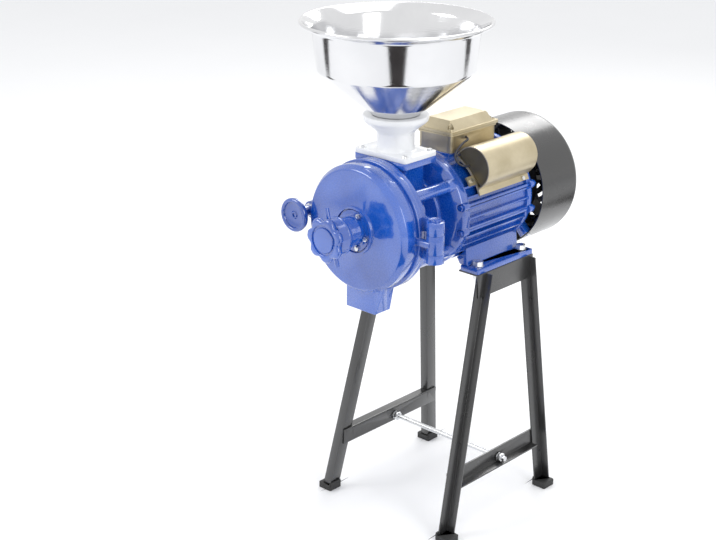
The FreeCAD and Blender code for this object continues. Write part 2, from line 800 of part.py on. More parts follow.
def make_foot_nuts():
    nuts = []
    under = -foot_height - bracket_t
    for side in (-1, 1):
        for y in foot_bolt_ys:
            x = side * foot_bolt_x
            body = joined([hexagon_z(foot_nut_flats, under - foot_washer_t - foot_nut_t, under - foot_washer_t, x, y),
                           rod_along_z(foot_washer_r, under - foot_washer_t, under, x, y)])
            nuts.append(body.cut(rod_along_z(foot_bolt_r, under - 11, under + 1, x, y)))
    return Part.makeCompound(nuts)


def make_rear_end_shield():
    body = turned_y([(0, frame_end_y), (shield_r - 2, frame_end_y), (shield_r - 2, frame_end_y + 9, 3.0),
                     (70, frame_end_y + 16, 6.0), (36, rear_shield_end_y, 3.0), (0, rear_shield_end_y)])
    lugs = [about_shaft(block(60, fan_cover_r - fan_cover_sheet - 0.5, fan_cover_start_y - 6,
                              fan_cover_start_y + 8, -7, 7), a) for a in cover_screw_angles]
    roots = [about_shaft(block(60, shield_r - 4, frame_end_y, fan_cover_start_y + 8, -7, 7), a)
             for a in cover_screw_angles]
    ears = [about_shaft(rod_along_y(6.5, frame_end_y, frame_end_y + 10, through_circle, 0), a)
            for a in through_angles]
    body = joined([body] + lugs + roots + ears)
    cavity = rod_along_y(frame_r - frame_wall - 3, frame_end_y - 1, frame_end_y + 6).cut(
        rod_along_y(bearing_r + 6, frame_end_y - 2, frame_end_y + 7))
    return less(body, [cavity, rod_along_y(bearing_r, frame_end_y - 1, rear_bearing_y + bearing_t - 1),
                       rod_along_y(shaft_r + 1.0, frame_end_y, rear_shield_end_y + 1)]
                + [about_shaft(rod_along_y(2.6, frame_end_y - 1, frame_end_y + 11, through_circle, 0), a)
                   for a in through_angles]
                + [about_shaft(rod_along_y(5.2, frame_end_y + 10, frame_end_y + 20, through_circle, 0), a)
                   for a in through_angles]
                + [about_shaft(rod_along_x(2.0, fan_cover_r - 14, fan_cover_r + 1, fan_cover_start_y + 4), a)
                   for a in cover_screw_angles])


def make_through_bolts():
    bolts = []
    for angle in through_angles:
        bolt = joined([rod_along_y(2.5, ear_face_y - 4, frame_end_y + 16, through_circle, 0),
                       hexagon_y(8.0, ear_face_y - 4, ear_face_y, through_circle, 0),
                       hexagon_y(8.0, frame_end_y + 10, frame_end_y + 14, through_circle, 0)])
        bolts.append(about_shaft(bolt, angle))
    return Part.makeCompound(bolts)


def make_stator_core():
    core = ring_y(frame_r - frame_wall, rotor_r + air_gap, core_start_y, core_end_y)
    slots = []
    for i in range(24):
        slots.append(about_shaft(block(rotor_r + air_gap - 1, rotor_r + 20, core_start_y - 1, core_end_y + 1,
                                       -2.0, 2.0), 15.0 * i))
    return less(core, slots)


def make_stator_windings():
    ends = []
    for start in (core_start_y - winding_len, core_end_y + 0.2):
        ends.append(turned_y([(rotor_r + 5, start, 5.0), (rotor_r + 24, start, 5.0),
                              (rotor_r + 24, start + winding_len - 0.2, 3.0),
                              (rotor_r + 5, start + winding_len - 0.2, 3.0)]))
    return Part.makeCompound(ends)


def bearing_starts():
    return (front_bearing_y, rear_bearing_y)


def ball_track_r():
    return (shaft_r + bearing_r) / 2


def make_bearing_outer_rings():
    rings = []
    for start in bearing_starts():
        end = start + bearing_t - 1
        ring = ring_y(bearing_r, ball_track_r() + 2.2, start, end)
        track = Part.makeTorus(ball_track_r(), ball_r + running, V(0, (start + end) / 2, 0), V(0, 1, 0))
        rings.append(ring.cut(track))
    return Part.makeCompound(rings)


def make_bearing_inner_rings():
    rings = []
    for start in bearing_starts():
        end = start + bearing_t - 1
        ring = ring_y(ball_track_r() - 2.2, shaft_r, start, end)
        track = Part.makeTorus(ball_track_r(), ball_r + running, V(0, (start + end) / 2, 0), V(0, 1, 0))
        rings.append(ring.cut(track))
    return Part.makeCompound(rings)


def make_bearing_balls():
    balls = []
    for start in bearing_starts():
        middle = start + (bearing_t - 1) / 2
        for x, z in round_spots(ball_track_r(), [360.0 / ball_count * i for i in range(ball_count)]):
            balls.append(Part.makeSphere(ball_r, V(x, middle, z)))
    return Part.makeCompound(balls)


def make_motor_shaft():
    nut_y = disc_back_y - disc_t - 6.2
    return joined([rod_along_y(7.0, nut_y, disc_back_y - disc_t),
                   rod_along_y(shaft_r, disc_back_y - disc_t, fan_start_y - 10),
                   rod_along_y(shaft_r - 3, fan_start_y - 11, shaft_tail_y)])


def make_rotor_core():
    core = ring_y(rotor_r, shaft_r, core_start_y, core_end_y)
    rings = [ring_y(rotor_r - 3, rotor_r - 14, core_start_y - 6, core_start_y),
             ring_y(rotor_r - 3, rotor_r - 14, core_end_y, core_end_y + 6)]
    return joined([core] + rings)


def make_cooling_fan():
    hub = ring_y(17.0, shaft_r - 3, fan_start_y, fan_end_y)
    web = ring_y(fan_r - 18, 16.0, fan_start_y, fan_start_y + 3)
    blades = [about_shaft(block(16.0, fan_r, fan_start_y, fan_end_y, -1.1, 1.1), 360.0 / fan_blades * i + 10)
              for i in range(fan_blades)]
    return joined([hub, web] + blades)


def make_fan_cover():
    t = fan_cover_sheet
    r = fan_cover_r
    shell = turned_y([(r - t, fan_cover_start_y), (r, fan_cover_start_y), (r, fan_cover_end_y, 11.0),
                      (0, fan_cover_end_y), (0, fan_cover_end_y - t), (r - t, fan_cover_end_y - t, 11.0 - t)])
    slots = []
    for radius, count in ((30.0, 6), (44.0, 8), (58.0, 12), (72.0, 14)):
        for i in range(count):
            arc = math.degrees(9.0 / radius) * (1.35 if count < 9 else 1.0)
            slots.append(vent_slot(radius, 360.0 / count * i, arc))
    cuts = [about_shaft(rod_along_x(2.2, r - 6, r + 2, fan_cover_start_y + 4), a) for a in cover_screw_angles]
    return less(shell, slots + cuts)


def vent_slot(radius, angle, half_arc):
    inner = radius - vent_w / 2
    outer = radius + vent_w / 2
    depth = V(0, fan_cover_sheet + 4, 0)
    spots = []
    corners = [(inner, -half_arc), (inner, 0), (inner, half_arc), (outer, half_arc), (outer, 0), (outer, -half_arc)]
    for rr, a in corners:
        turn = math.radians(angle + a)
        spots.append(V(rr * math.cos(turn), fan_cover_end_y - fan_cover_sheet - 2, rr * math.sin(turn)))
    edges = [Part.Arc(spots[0], spots[1], spots[2]).toShape(), Part.makeLine(spots[2], spots[3]),
             Part.Arc(spots[3], spots[4], spots[5]).toShape(), Part.makeLine(spots[5], spots[0])]
    return Part.Face(Part.Wire(edges)).extrude(depth)


def make_fan_cover_screws():
    screws = []
    for angle in cover_screw_angles:
        screw = joined([rod_along_x(1.9, fan_cover_r - 10, fan_cover_r, fan_cover_start_y + 4),
                        rod_along_x(4.5, fan_cover_r, fan_cover_r + 2.4, fan_cover_start_y + 4)])
        screws.append(about_shaft(screw, angle))
    return Part.makeCompound(screws)


# Terminal box
def pillar_spots():
    inset = pillar_r - 0.5
    return [(sx * (box_x - inset), y) for sx in (-1, 1) for y in (box_start_y + inset, box_end_y - inset)]


def make_terminal_box():
    shell = rounded_block(-box_x, box_x, box_start_y, box_end_y, box_seat_z, box_top_z, 5.0)
    inside = rounded_block(-box_x + box_wall, box_x - box_wall, box_start_y + box_wall, box_end_y - box_wall,
                           box_seat_z + box_wall, box_top_z + 1, 3.0)
    pillars = [rod_along_z(pillar_r, box_seat_z, box_top_z, x, y) for x, y in pillar_spots()]
    rim = rounded_block(-box_x - 2, box_x + 2, box_start_y - 2, box_end_y + 2, box_top_z - 3, box_top_z, 6.0)
    hollow_rim = less(rim, [inside])
    body = joined([less(shell, [inside])] + pillars + [hollow_rim])
    cuts = [rod_along_z(1.8, box_top_z - 14, box_top_z + 1, x, y) for x, y in pillar_spots()]
    cuts.append(rod_along_z(wire_hole_r, box_seat_z - 1, box_seat_z + box_wall + 1, 0, wire_hole_y))
    cuts.append(rod_along_x(gland_r - 2.0, -box_x - 1, -box_x + box_wall + 1, gland_y, gland_z))
    cuts.append(rod_along_x(lead_r + 0.3, box_x - box_wall - 1, box_x + 1, lead_route[0].y, lead_route[0].z))
    return less(body, cuts)


def make_box_gasket():
    outer = rounded_block(-box_x - 1, box_x + 1, box_start_y - 1, box_end_y + 1, box_top_z, box_top_z + 1.0, 5.0)
    inner = rounded_block(-box_x + 4, box_x - 4, box_start_y + 4, box_end_y - 4, box_top_z - 1, box_top_z + 2, 4.0)
    holes = [rod_along_z(2.2, box_top_z - 1, box_top_z + 2, x, y) for x, y in pillar_spots()]
    return less(outer, [inner] + holes)


def make_terminal_box_lid():
    low = box_top_z + 1.0
    x1 = box_x + lid_over
    y0, y1 = box_start_y - lid_over, box_end_y + lid_over
    edge = rounded_block(-x1, x1, y0, y1, low, low + lid_edge_t, 4.0)
    top = low + lid_edge_t + lid_rise
    wires = []
    for inset, z, r in ((3.0, low + lid_edge_t, 3.0), (lid_slope, top, 2.0)):
        wire = rounded_wire([(-x1 + inset, y0 + inset, r), (x1 - inset, y0 + inset, r),
                             (x1 - inset, y1 - inset, r), (-x1 + inset, y1 - inset, r)], in_xy)
        wire.translate(V(0, 0, z))
        wires.append(wire)
    crown = Part.makeLoft(wires, True, True)
    hollow = block(-x1 + 18, x1 - 18, y0 + 18, y1 - 18, low - 1, top - 2.5)
    body = less(joined([edge, crown]), [hollow])
    return less(body, [rod_along_z(2.2, low - 1, low + 20, x, y) for x, y in pillar_spots()]
                + [rod_along_z(4.5, low + lid_edge_t, low + 30, x, y) for x, y in pillar_spots()])


def make_lid_screws():
    screws = []
    seat = box_top_z + 1.0 + lid_edge_t
    for x, y in pillar_spots():
        head = Part.makeCone(3.6, 2.8, 2.0, V(x, y, seat), V(0, 0, 1))
        slot = block(x - 3, x + 3, y - 0.4, y + 0.4, seat + 1.1, seat + 3)
        screws.append(head.fuse(rod_along_z(1.8, seat - 16, seat, x, y)).cut(slot))
    return Part.makeCompound(screws)


def make_terminal_block():
    floor = box_seat_z + box_wall
    body = block(-20, 20, 158, 176, floor, floor + 10)
    studs = [rod_along_z(2.2, floor + 10, floor + 17, x, 167) for x in (-13, 0, 13)]
    return joined([body] + studs)


def make_cord_gland():
    start = -box_x - gland_len
    body = joined([rod_along_x(gland_r - 2.0, -box_x, -box_x + box_wall, gland_y, gland_z),
                   hexagon_x(2 * gland_r, -box_x - 7, -box_x, gland_y, gland_z),
                   Part.makeCone(gland_r - 2.0, gland_r, 11.0, V(start, gland_y, gland_z), V(1, 0, 0))])
    return less(body, [rod_along_x(gland_bore_r, start - 1, -box_x + box_wall + 1, gland_y, gland_z)])


# Capacitor
def cap_section(radius, flat_low):
    # Outline of the housing in a plane where X is the radial direction and Z the tangent.
    low = flat_low
    reach = cap_radial
    edges = [Part.Arc(V(reach, 0, -radius), V(reach + radius, 0, 0), V(reach, 0, radius)).toShape(),
             Part.makeLine(V(reach, 0, radius), V(low, 0, radius)),
             Part.makeLine(V(low, 0, radius), V(low, 0, -radius)),
             Part.makeLine(V(low, 0, -radius), V(reach, 0, -radius))]
    return Part.Face(Part.Wire(edges))


def make_capacitor_cover():
    shell = cap_section(cap_r, fin_r - 12).extrude(V(0, cap_end_y - cap_start_y, 0))
    shell.translate(V(0, cap_start_y, 0))
    inner = cap_section(cap_r - cap_wall, fin_r - 14).extrude(V(0, cap_end_y - cap_start_y - cap_wall + 1, 0))
    inner.translate(V(0, cap_start_y - 1, 0))
    shell = shell.cut(inner)
    rounding = [e for e in shell.Edges if len(e.Vertexes) == 2
                and min(v.Point.y for v in e.Vertexes) > cap_end_y - 0.01
                and min(math.hypot(v.Point.x - cap_radial, v.Point.z) for v in e.Vertexes) > cap_r - 0.1
                and e.Curve.TypeId == "Part::GeomCircle"]
    shell = shell.makeFillet(1.2, rounding)
    seat = cap_seat_r
    base = sector_y(seat + cap_base_t, cap_start_y, cap_end_y, cap_base_low_deg, cap_base_high_deg)
    shell = joined([shell, base])
    keep = rod_along_y(cap_r - cap_wall, cap_start_y + cap_bridge, cap_end_y - cap_wall, cap_radial, 0)
    tab = sector_y(seat + cap_base_t, cap_start_y - cap_tab, cap_start_y + 2, cap_tab_shift - cap_tab_half,
                   cap_tab_shift + cap_tab_half)
    body = joined([shell, tab])
    body = less(body, [rod_along_y(seat, cap_start_y - cap_tab - 1, cap_end_y + 1), keep])
    holes = [about_shaft(rod_along_x(2.2, fin_r - 5, fin_r + 10, y), shift) for y, shift in cap_screw_spots()]
    return about_shaft(less(body, holes), cap_angle)


def cap_screw_spots():
    # One screw in the front tab and one in the strip beside the housing, each by its angle off the housing.
    return ((cap_start_y - cap_tab / 2, cap_tab_shift), (cap_end_y - cap_foot_back, cap_foot_shift))


def sector_y(r, y0, y1, low_deg, high_deg):
    # Part of a round bar about the shaft axis, between two angles.
    reach = 1.5 * r
    corners = [(reach * math.cos(math.radians(a)), reach * math.sin(math.radians(a))) for a in (low_deg, high_deg)]
    wedge = prism([(0, 0)] + corners, in_xz, V(0, y1 - y0, 0), V(0, y0, 0))
    return rod_along_y(r, y0, y1).common(wedge)


def make_capacitor_end_cap():
    disc = cap_section(cap_r - cap_wall - 0.1, cap_seat_r + cap_base_t + 0.2).extrude(V(0, 2.0, 0))
    disc.translate(V(0, cap_start_y + 1.0, 0))
    end = lead_route[-1]
    hole = rod_along_y(lead_r + slack, cap_start_y, cap_start_y + 4, end.x, end.z)
    return about_shaft(disc, cap_angle).cut(hole)


def make_capacitor():
    middle = fin_r + cap_can_r + 0.4
    can = rod_along_y(cap_can_r, cap_start_y + 8, cap_end_y - 6, middle, 0)
    tags = [block(middle - 3, middle + 3, cap_start_y + 3.2, cap_start_y + 8, z - 0.4, z + 0.4)
            for z in (-8, 8)]
    return about_shaft(joined([can] + tags), cap_angle)


def make_capacitor_screws():
    screws = []
    seat = cap_seat_r + cap_base_t
    for y, shift in cap_screw_spots():
        screw = joined([rod_along_x(2.1, fin_r + 0.2, seat, y), rod_along_x(cap_screw_head_r, seat, seat + 2.6, y)])
        screws.append(about_shaft(screw, cap_angle + shift))
    return Part.makeCompound(screws)


# Lead from the terminal box into the capacitor housing
def shoulder(past_fins, degrees, y):
    x, z = round_spots(fin_r + past_fins, (degrees,))[0]
    return V(x, y, z)


lead_route = (V(box_x - 1.0, 124.0, 103.0), V(box_x + 8.0, 121.0, 102.5), V(41.5, 108.0, 100.5), V(42.0, 95.0, 95.0),
              V(44.0, 83.0, 87.0), shoulder(4.6, 54.5, cap_start_y - 15.5), shoulder(6.4, 48.5, cap_start_y - 9.0),
              shoulder(6.6, 47.5, cap_start_y + 4.5))


def tube_route(points, r):
    # Straight runs joined by tangent arcs, each as large as its two runs allow.
    edges = []
    radii = []
    start = points[0]
    for i in range(1, len(points) - 1):
        before, at, after = points[i - 1], points[i], points[i + 1]
        a = (before - at)
        b = (after - at)
        run = min(a.Length, b.Length)
        half = a.getAngle(b) / 2
        turn = math.pi - 2 * half
        radius = 0.45 * run / math.tan(turn / 2)
        reach = 0.45 * run
        a.normalize()
        b.normalize()
        middle = (a + b).normalize()
        crown = at + middle * (radius / math.sin(half) - radius)
        edges.append(Part.makeLine(start, at + a * reach))
        edges.append(Part.Arc(at + a * reach, crown, at + b * reach).toShape())
        start = at + b * reach
        radii.append(round(radius, 1))
    edges.append(Part.makeLine(start, points[-1]))
    path = Part.Wire(edges)
    first = (points[1] - points[0]).normalize()
    section = Part.Wire([Part.makeCircle(r, points[0], first)])
    tube = path.makePipeShell([section], True, False)
    print("lead radii", radii, "length", round(path.Length, 1),
          "volume ratio", round(tube.Volume / (math.pi * r * r * path.Length), 3))
    return tube


def make_capacitor_lead():
    return tube_route(lead_route, lead_r)


# Auger on the shaft
def make_feed_auger():
    start, end = split_y + 4.0, barrel_end_y - 16.0
    sleeve = ring_y(shaft_r + 3.5, shaft_r, start, end)
    pitch = 26.0
    turns_len = end - start - 6.0
    helix = Part.makeHelix(pitch, turns_len, shaft_r + 3.0)
    flight_out = barrel_bore_r - 1.5
    low_r = shaft_r + 3.0
    section = Part.Wire([Part.makeLine(V(low_r, 0, -1.6), V(flight_out, 0, -1.2)),
                         Part.makeLine(V(flight_out, 0, -1.2), V(flight_out, 0, 1.2)),
                         Part.makeLine(V(flight_out, 0, 1.2), V(low_r, 0, 1.6)),
                         Part.makeLine(V(low_r, 0, 1.6), V(low_r, 0, -1.6))])
    flight = Part.Wire(helix.Edges).makePipeShell([section], True, True)
    flight.rotate(V(0, 0, 0), V(1, 0, 0), -90)
    flight.translate(V(0, start + 3.0, 0))
    return joined([sleeve, flight])


# Stand
def lean(z):
    # Share of the way from the bracket's top plate down to the floor.
    return (-foot_height - z) / (shaft_height - foot_height)


def leg_x(z):
    return web_x + (leg_foot_x - web_x) * lean(z)


def between(top, low, z):
    return top + (low - top) * lean(z)


def angle_leg(top_y, low_y, lip_side):
    # An L section that leans, cut level at both ends. The lip runs outwards from the
    # flange's rear edge (lip_side 1) or from its front edge (lip_side -1).
    wires = []
    for z in (-foot_height - bracket_t, floor_z + pad_floor):
        x = leg_x(z) - bracket_t
        y = between(top_y, low_y, z)
        far = y + leg_a
        if lip_side > 0:
            points = [(x - leg_t, y), (x, y), (x, far - leg_t), (x + leg_b, far - leg_t), (x + leg_b, far),
                      (x - leg_t, far)]
        else:
            points = [(x - leg_t, y), (x + leg_b, y), (x + leg_b, y + leg_t), (x, y + leg_t), (x, far),
                      (x - leg_t, far)]
        wire = rounded_wire(points, in_xy)
        wire.translate(V(0, 0, z))
        wires.append(wire)
    return Part.makeLoft(wires, True, True)


def make_bracket(legs):
    plate = block(bracket_in_x, web_x, foot_start_y, foot_end_y, -foot_height - bracket_t, -foot_height)
    low_z = -foot_height - web_drop
    low_x = leg_x(low_z)
    web = prism([(web_x - bracket_t, -foot_height), (web_x, -foot_height), (low_x, low_z),
                 (low_x - bracket_t, low_z)], in_xz, V(0, foot_end_y - foot_start_y, 0), V(0, foot_start_y, 0))
    body = joined([plate, web])
    holes = [rod_along_z(foot_bolt_r + 0.5, -foot_height - 5, -foot_height + 1, foot_bolt_x, y)
             for y in foot_bolt_ys]
    return less(body, holes + legs)


def make_crossbar(legs, lip_up):
    low_z = crossbar_top_z - crossbar_h
    y0 = between(front_leg_top_y, front_leg_low_y, crossbar_top_z) + 2
    y1 = between(rear_leg_top_y, rear_leg_low_y, crossbar_top_z) + leg_a - 2
    top_x = leg_x(crossbar_top_z) - bracket_t - leg_t
    low_x = leg_x(low_z) - bracket_t - leg_t
    bar = prism([(top_x - leg_t, crossbar_top_z), (top_x, crossbar_top_z), (low_x, low_z), (low_x - leg_t, low_z)],
                in_xz, V(0, y1 - y0, 0), V(0, y0, 0))
    lip_z = crossbar_top_z - leg_t if lip_up else low_z
    lip_x = top_x if lip_up else low_x
    start = between(front_leg_top_y, front_leg_low_y, lip_z) + leg_a + 1
    end = between(rear_leg_top_y, rear_leg_low_y, lip_z) - 1
    lip = block(lip_x - leg_t, lip_x + crossbar_out, start, end, lip_z, lip_z + leg_t)
    body = joined([bar, lip])
    return less(body, legs + [rod_along_x(rod_r + 0.3, 50, 200, rod_y, rod_z)])


def pad_at(low_y):
    z = floor_z + pad_floor
    x = leg_x(z) - bracket_t - leg_t
    y = between(low_y[0], low_y[1], z)
    x0 = x - 3.0
    y0 = y - (pad_size - leg_a) / 2
    pad = rounded_block(x0, x0 + pad_size, y0, y0 + pad_size, floor_z, floor_z + pad_t, 2.0)
    wall = block(x0, x0 + 3.0, y0 + 1, y0 + pad_size - 1, floor_z + pad_t - 1, floor_z + pad_t + 4)
    return joined([pad, wall])


def make_foot_cap(leg, low_y):
    return less(pad_at(low_y), [leg])


def make_tie_rod():
    reach = leg_x(rod_z) - bracket_t + rod_past
    return rod_along_x(rod_r, -reach, reach, rod_y, rod_z)


def make_tie_rod_nuts():
    nuts = []
    face = leg_x(rod_z) - bracket_t - leg_t
    for side in (-1, 1):
        for start, end in ((face + 0.8, face + 2.4), (face - leg_t - 2.4, face - leg_t - 0.8)):
            washer = rod_along_x(rod_washer_r, start, end, rod_y, rod_z)
            washer = washer.cut(rod_along_x(rod_r, start - 1, end + 1, rod_y, rod_z))
            nuts.append(washer if side > 0 else mirrored(washer))
        for start, end in ((face + 2.4, face + 8.9), (face - leg_t - 8.9, face - leg_t - 2.4)):
            nut = hexagon_x(rod_nut_flats, start, end, rod_y, rod_z)
            nut = nut.cut(rod_along_x(rod_r, start - 1, end + 1, rod_y, rod_z))
            nuts.append(nut if side > 0 else mirrored(nut))
    return Part.makeCompound(nuts)


def build():
    nodes = {}
    nodes["hopper"] = make_hopper()
    nodes["feed_neck"] = make_feed_neck()
    nodes["feed_neck_screws"] = make_neck_screws()
    nodes["grinding_housing"] = make_grinding_housing()
    nodes["housing_bolts"] = make_tie_bolts()
    nodes["shaft_seal"] = make_shaft_seal()
    nodes["front_cover"] = make_front_cover()
    nodes["hinge_pin"] = make_hinge_pin()
    nodes["rotating_disc"] = make_rotating_disc()
    nodes["disc_nut"] = make_disc_nut()
    nodes["fixed_disc"] = make_fixed_disc()
    nodes["fixed_disc_screws"] = make_fixed_disc_screws()
    nodes["pressure_plate"] = make_pressure_plate()
    nodes["guide_pins"] = make_guide_pins()
    nodes["threaded_bush"] = make_threaded_bush()
    nodes["bush_screws"] = make_bush_screws()
    nodes["adjusting_screw"] = make_adjusting_screw()
    nodes["lock_nut"] = make_lock_nut()
    nodes["lock_levers"] = make_lock_levers()
    nodes["star_knob"] = make_star_knob()
    nodes["clamp_washer"] = make_clamp_washer()
    nodes["clamp_stud"] = make_clamp_stud()
    nodes["clamp_knob"] = make_clamp_knob()
    nodes["feed_auger"] = make_feed_auger()
    nodes["motor_shaft"] = make_motor_shaft()
    nodes["rotor_core"] = make_rotor_core()
    nodes["cooling_fan"] = make_cooling_fan()
    nodes["bearing_inner_rings"] = Part.makeCompound([make_bearing_inner_rings(), make_bearing_balls()])
    nodes["bearing_outer_rings"] = make_bearing_outer_rings()
    nodes["front_end_shield"] = make_front_end_shield()
    nodes["stator_frame"] = make_stator_frame()
    nodes["stator_core"] = make_stator_core()
    nodes["stator_windings"] = make_stator_windings()
    nodes["rear_end_shield"] = make_rear_end_shield()
    nodes["through_bolts"] = make_through_bolts()
    nodes["fan_cover"] = make_fan_cover()
    nodes["right_motor_foot"] = make_right_foot()
    nodes["left_motor_foot"] = mirrored(make_right_foot())
    nodes["motor_foot_bolts"] = make_foot_bolts()
    nodes["terminal_box"] = make_terminal_box()
    nodes["box_gasket"] = make_box_gasket()
    nodes["terminal_box_lid"] = make_terminal_box_lid()
    nodes["terminal_block"] = make_terminal_block()
    nodes["cord_gland"] = make_cord_gland()
    nodes["capacitor_cover"] = make_capacitor_cover()
    nodes["capacitor_end_cap"] = make_capacitor_end_cap()
    nodes["capacitor"] = make_capacitor()
    nodes["motor_cover_screws"] = Part.makeCompound([make_fan_cover_screws(), make_lid_screws(),
                                                     make_capacitor_screws()])
    nodes["capacitor_lead"] = make_capacitor_lead()
    ys = {"front": (front_leg_top_y, front_leg_low_y), "rear": (rear_leg_top_y, rear_leg_low_y)}
    caps = []
    for side, lip in (("right", 1), ("left", -1)):
        legs = {}
        for end in ("front", "rear"):
            legs[end] = angle_leg(ys[end][0], ys[end][1], lip)
            caps.append((side, make_foot_cap(legs[end], ys[end])))
        pair = [legs["front"], legs["rear"]]
        pieces = {side + "_front_leg": legs["front"], side + "_rear_leg": legs["rear"],
                  side + "_bracket": make_bracket(pair), side + "_crossbar": make_crossbar(pair, lip < 0)}
        for name, shape in pieces.items():
            nodes[name] = shape if side == "right" else mirrored(shape)
    nodes["foot_caps"] = Part.makeCompound([c if side == "right" else mirrored(c) for side, c in caps])
    nodes["tie_rod"] = make_tie_rod()
    nodes["stand_nuts"] = Part.makeCompound([make_foot_nuts(), make_tie_rod_nuts()])
    return nodes


def save(nodes):
    os.makedirs("parts", exist_ok=True)
    for name, shape in nodes.items():
        shape.translate(V(0, -frame_mid_y, shaft_height))
        shape.exportStep("parts/" + name + ".step")


if __name__ == "__main__":
    save(build())
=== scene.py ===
import bpy
import json
import math
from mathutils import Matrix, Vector


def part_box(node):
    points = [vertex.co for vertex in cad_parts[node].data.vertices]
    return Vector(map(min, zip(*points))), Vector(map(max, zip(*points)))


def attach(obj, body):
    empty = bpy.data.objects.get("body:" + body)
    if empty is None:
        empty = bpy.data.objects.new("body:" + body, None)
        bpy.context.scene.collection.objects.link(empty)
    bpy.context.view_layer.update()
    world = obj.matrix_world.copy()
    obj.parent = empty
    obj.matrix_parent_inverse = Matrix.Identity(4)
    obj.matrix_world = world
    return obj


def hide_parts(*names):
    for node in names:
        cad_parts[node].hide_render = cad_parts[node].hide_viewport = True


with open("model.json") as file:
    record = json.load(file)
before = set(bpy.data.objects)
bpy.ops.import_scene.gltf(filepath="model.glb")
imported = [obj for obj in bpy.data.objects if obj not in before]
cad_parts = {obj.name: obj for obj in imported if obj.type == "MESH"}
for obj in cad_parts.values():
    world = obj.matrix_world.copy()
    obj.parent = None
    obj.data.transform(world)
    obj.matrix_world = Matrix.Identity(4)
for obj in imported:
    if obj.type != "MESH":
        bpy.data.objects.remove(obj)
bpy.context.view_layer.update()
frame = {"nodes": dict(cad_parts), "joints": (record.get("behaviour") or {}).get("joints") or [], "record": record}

# Electric grain mill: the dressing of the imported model. All lengths given in millimetres are
# measured from the crossing of the hopper axis and the shaft axis, and at() turns them into
# the frame's metres.
mm = 0.001
hopperLow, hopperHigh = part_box("hopper")
hopperY = (hopperLow[1] + hopperHigh[1]) / 2
shaftZ = next(j["pos_m"][2] for j in frame["joints"] if j["name"] == "rotor_spin")
nodes = frame["nodes"]


def at(x, y, z):
    return Vector((x * mm, hopperY + y * mm, shaftZ + z * mm))


# Camera, fitted to the photograph: degrees, millimetres and pixels
camera = {"azimuth": 43.27, "elevation": 20.44, "spot": (1398.0, -1565.2, 696.5), "focalPixels": 1484.1,
          "imageWidth": 716, "sensor": 36.0, "clipEnd": 50.0}


def addCamera():
    turn = math.radians(camera["azimuth"])
    dip = math.radians(camera["elevation"])
    forward = Vector((-math.sin(turn) * math.cos(dip), math.cos(turn) * math.cos(dip), -math.sin(dip)))
    data = bpy.data.cameras.new("camera")
    data.sensor_fit = "HORIZONTAL"
    data.sensor_width = camera["sensor"]
    data.lens = camera["focalPixels"] * camera["sensor"] / camera["imageWidth"]
    data.clip_end = camera["clipEnd"]
    eye = bpy.data.objects.new("camera", data)
    bpy.context.scene.collection.objects.link(eye)
    eye.location = at(*camera["spot"])
    eye.rotation_euler = forward.to_track_quat("-Z", "Y").to_euler()
    bpy.context.scene.camera = eye


# Shader maths: the reflected forms let a number stand first, as in 1 - mask.
class Wire:
    def __init__(self, paint, socket):
        self.paint = paint
        self.socket = socket

    def __add__(self, other):
        return self.paint.maths("ADD", self, other)

    def __sub__(self, other):
        return self.paint.maths("SUBTRACT", self, other)

    def __rsub__(self, other):
        return self.paint.maths("SUBTRACT", other, self)

    def __mul__(self, other):
        return self.paint.maths("MULTIPLY", self, other)

    def __pow__(self, other):
        return self.paint.maths("POWER", self, other)

    def __rpow__(self, other):
        return self.paint.maths("POWER", other, self)

    __radd__ = __add__
    __rmul__ = __mul__


class Paint:
    def __init__(self, name, **values):
        self.material = bpy.data.materials.new(name)
        self.material.use_nodes = True
        self.tree = self.material.node_tree
        self.shader = self.tree.nodes["Principled BSDF"]
        self.set(**values)
        self.spot = self.node("ShaderNodeTexCoord", out="Object")

    def node(self, kind, settings=None, out=0, **sockets):
        # A socket is given by its name, or as n and its number where names repeat.
        made = self.tree.nodes.new(kind)
        for key, value in (settings or {}).items():
            setattr(made, key, value)
        for key, value in sockets.items():
            socket = made.inputs[int(key[1:])] if key[0] == "n" and key[1:].isdigit() else made.inputs[key]
            self.feed(socket, value)
        return Wire(self, made.outputs[out])

    def feed(self, socket, value):
        if isinstance(value, Wire):
            self.tree.links.new(value.socket, socket)
        elif isinstance(value, tuple) and len(value) == 3 and socket.type == "RGBA":
            socket.default_value = (*value, 1)
        else:
            socket.default_value = value

    def maths(self, operation, a, b=0.0):
        return self.node("ShaderNodeMath", {"operation": operation}, n0=a, n1=b)

    def set(self, **values):
        for key, value in values.items():
            self.feed(self.shader.inputs[key.replace("_", " ")], value)

    def noise(self, scale, detail=3.0, roughness=0.5):
        return self.node("ShaderNodeTexNoise", Vector=self.spot, Scale=scale, Detail=detail, Roughness=roughness)

    def lines(self, along):
        return self.node("ShaderNodeTexNoise", {"noise_dimensions": "1D"}, W=along, Scale=1.0, Detail=2.0)

    def waves(self, direction, scale, distortion=0.0):
        return self.node("ShaderNodeTexWave", {"bands_direction": direction}, Vector=self.spot, Scale=scale,
                         Distortion=distortion)

    def band(self, value, low, high, outLow=0.0, outHigh=1.0):
        return self.node("ShaderNodeMapRange", {"clamp": True}, n0=value, n1=low, n2=high, n3=outLow, n4=outHigh)

    def blend(self, factor, first, second):
        return self.node("ShaderNodeMix", {"data_type": "RGBA"}, out=2, n0=factor, n6=first, n7=second)

    def bump(self, height, strength, distance):
        self.set(Normal=self.node("ShaderNodeBump", Height=height, Strength=strength, Distance=distance))

    def parts(self):
        split = self.node("ShaderNodeSeparateXYZ", Vector=self.spot)
        outputs = split.socket.node.outputs
        return [Wire(self, outputs[i]) for i in range(3)]


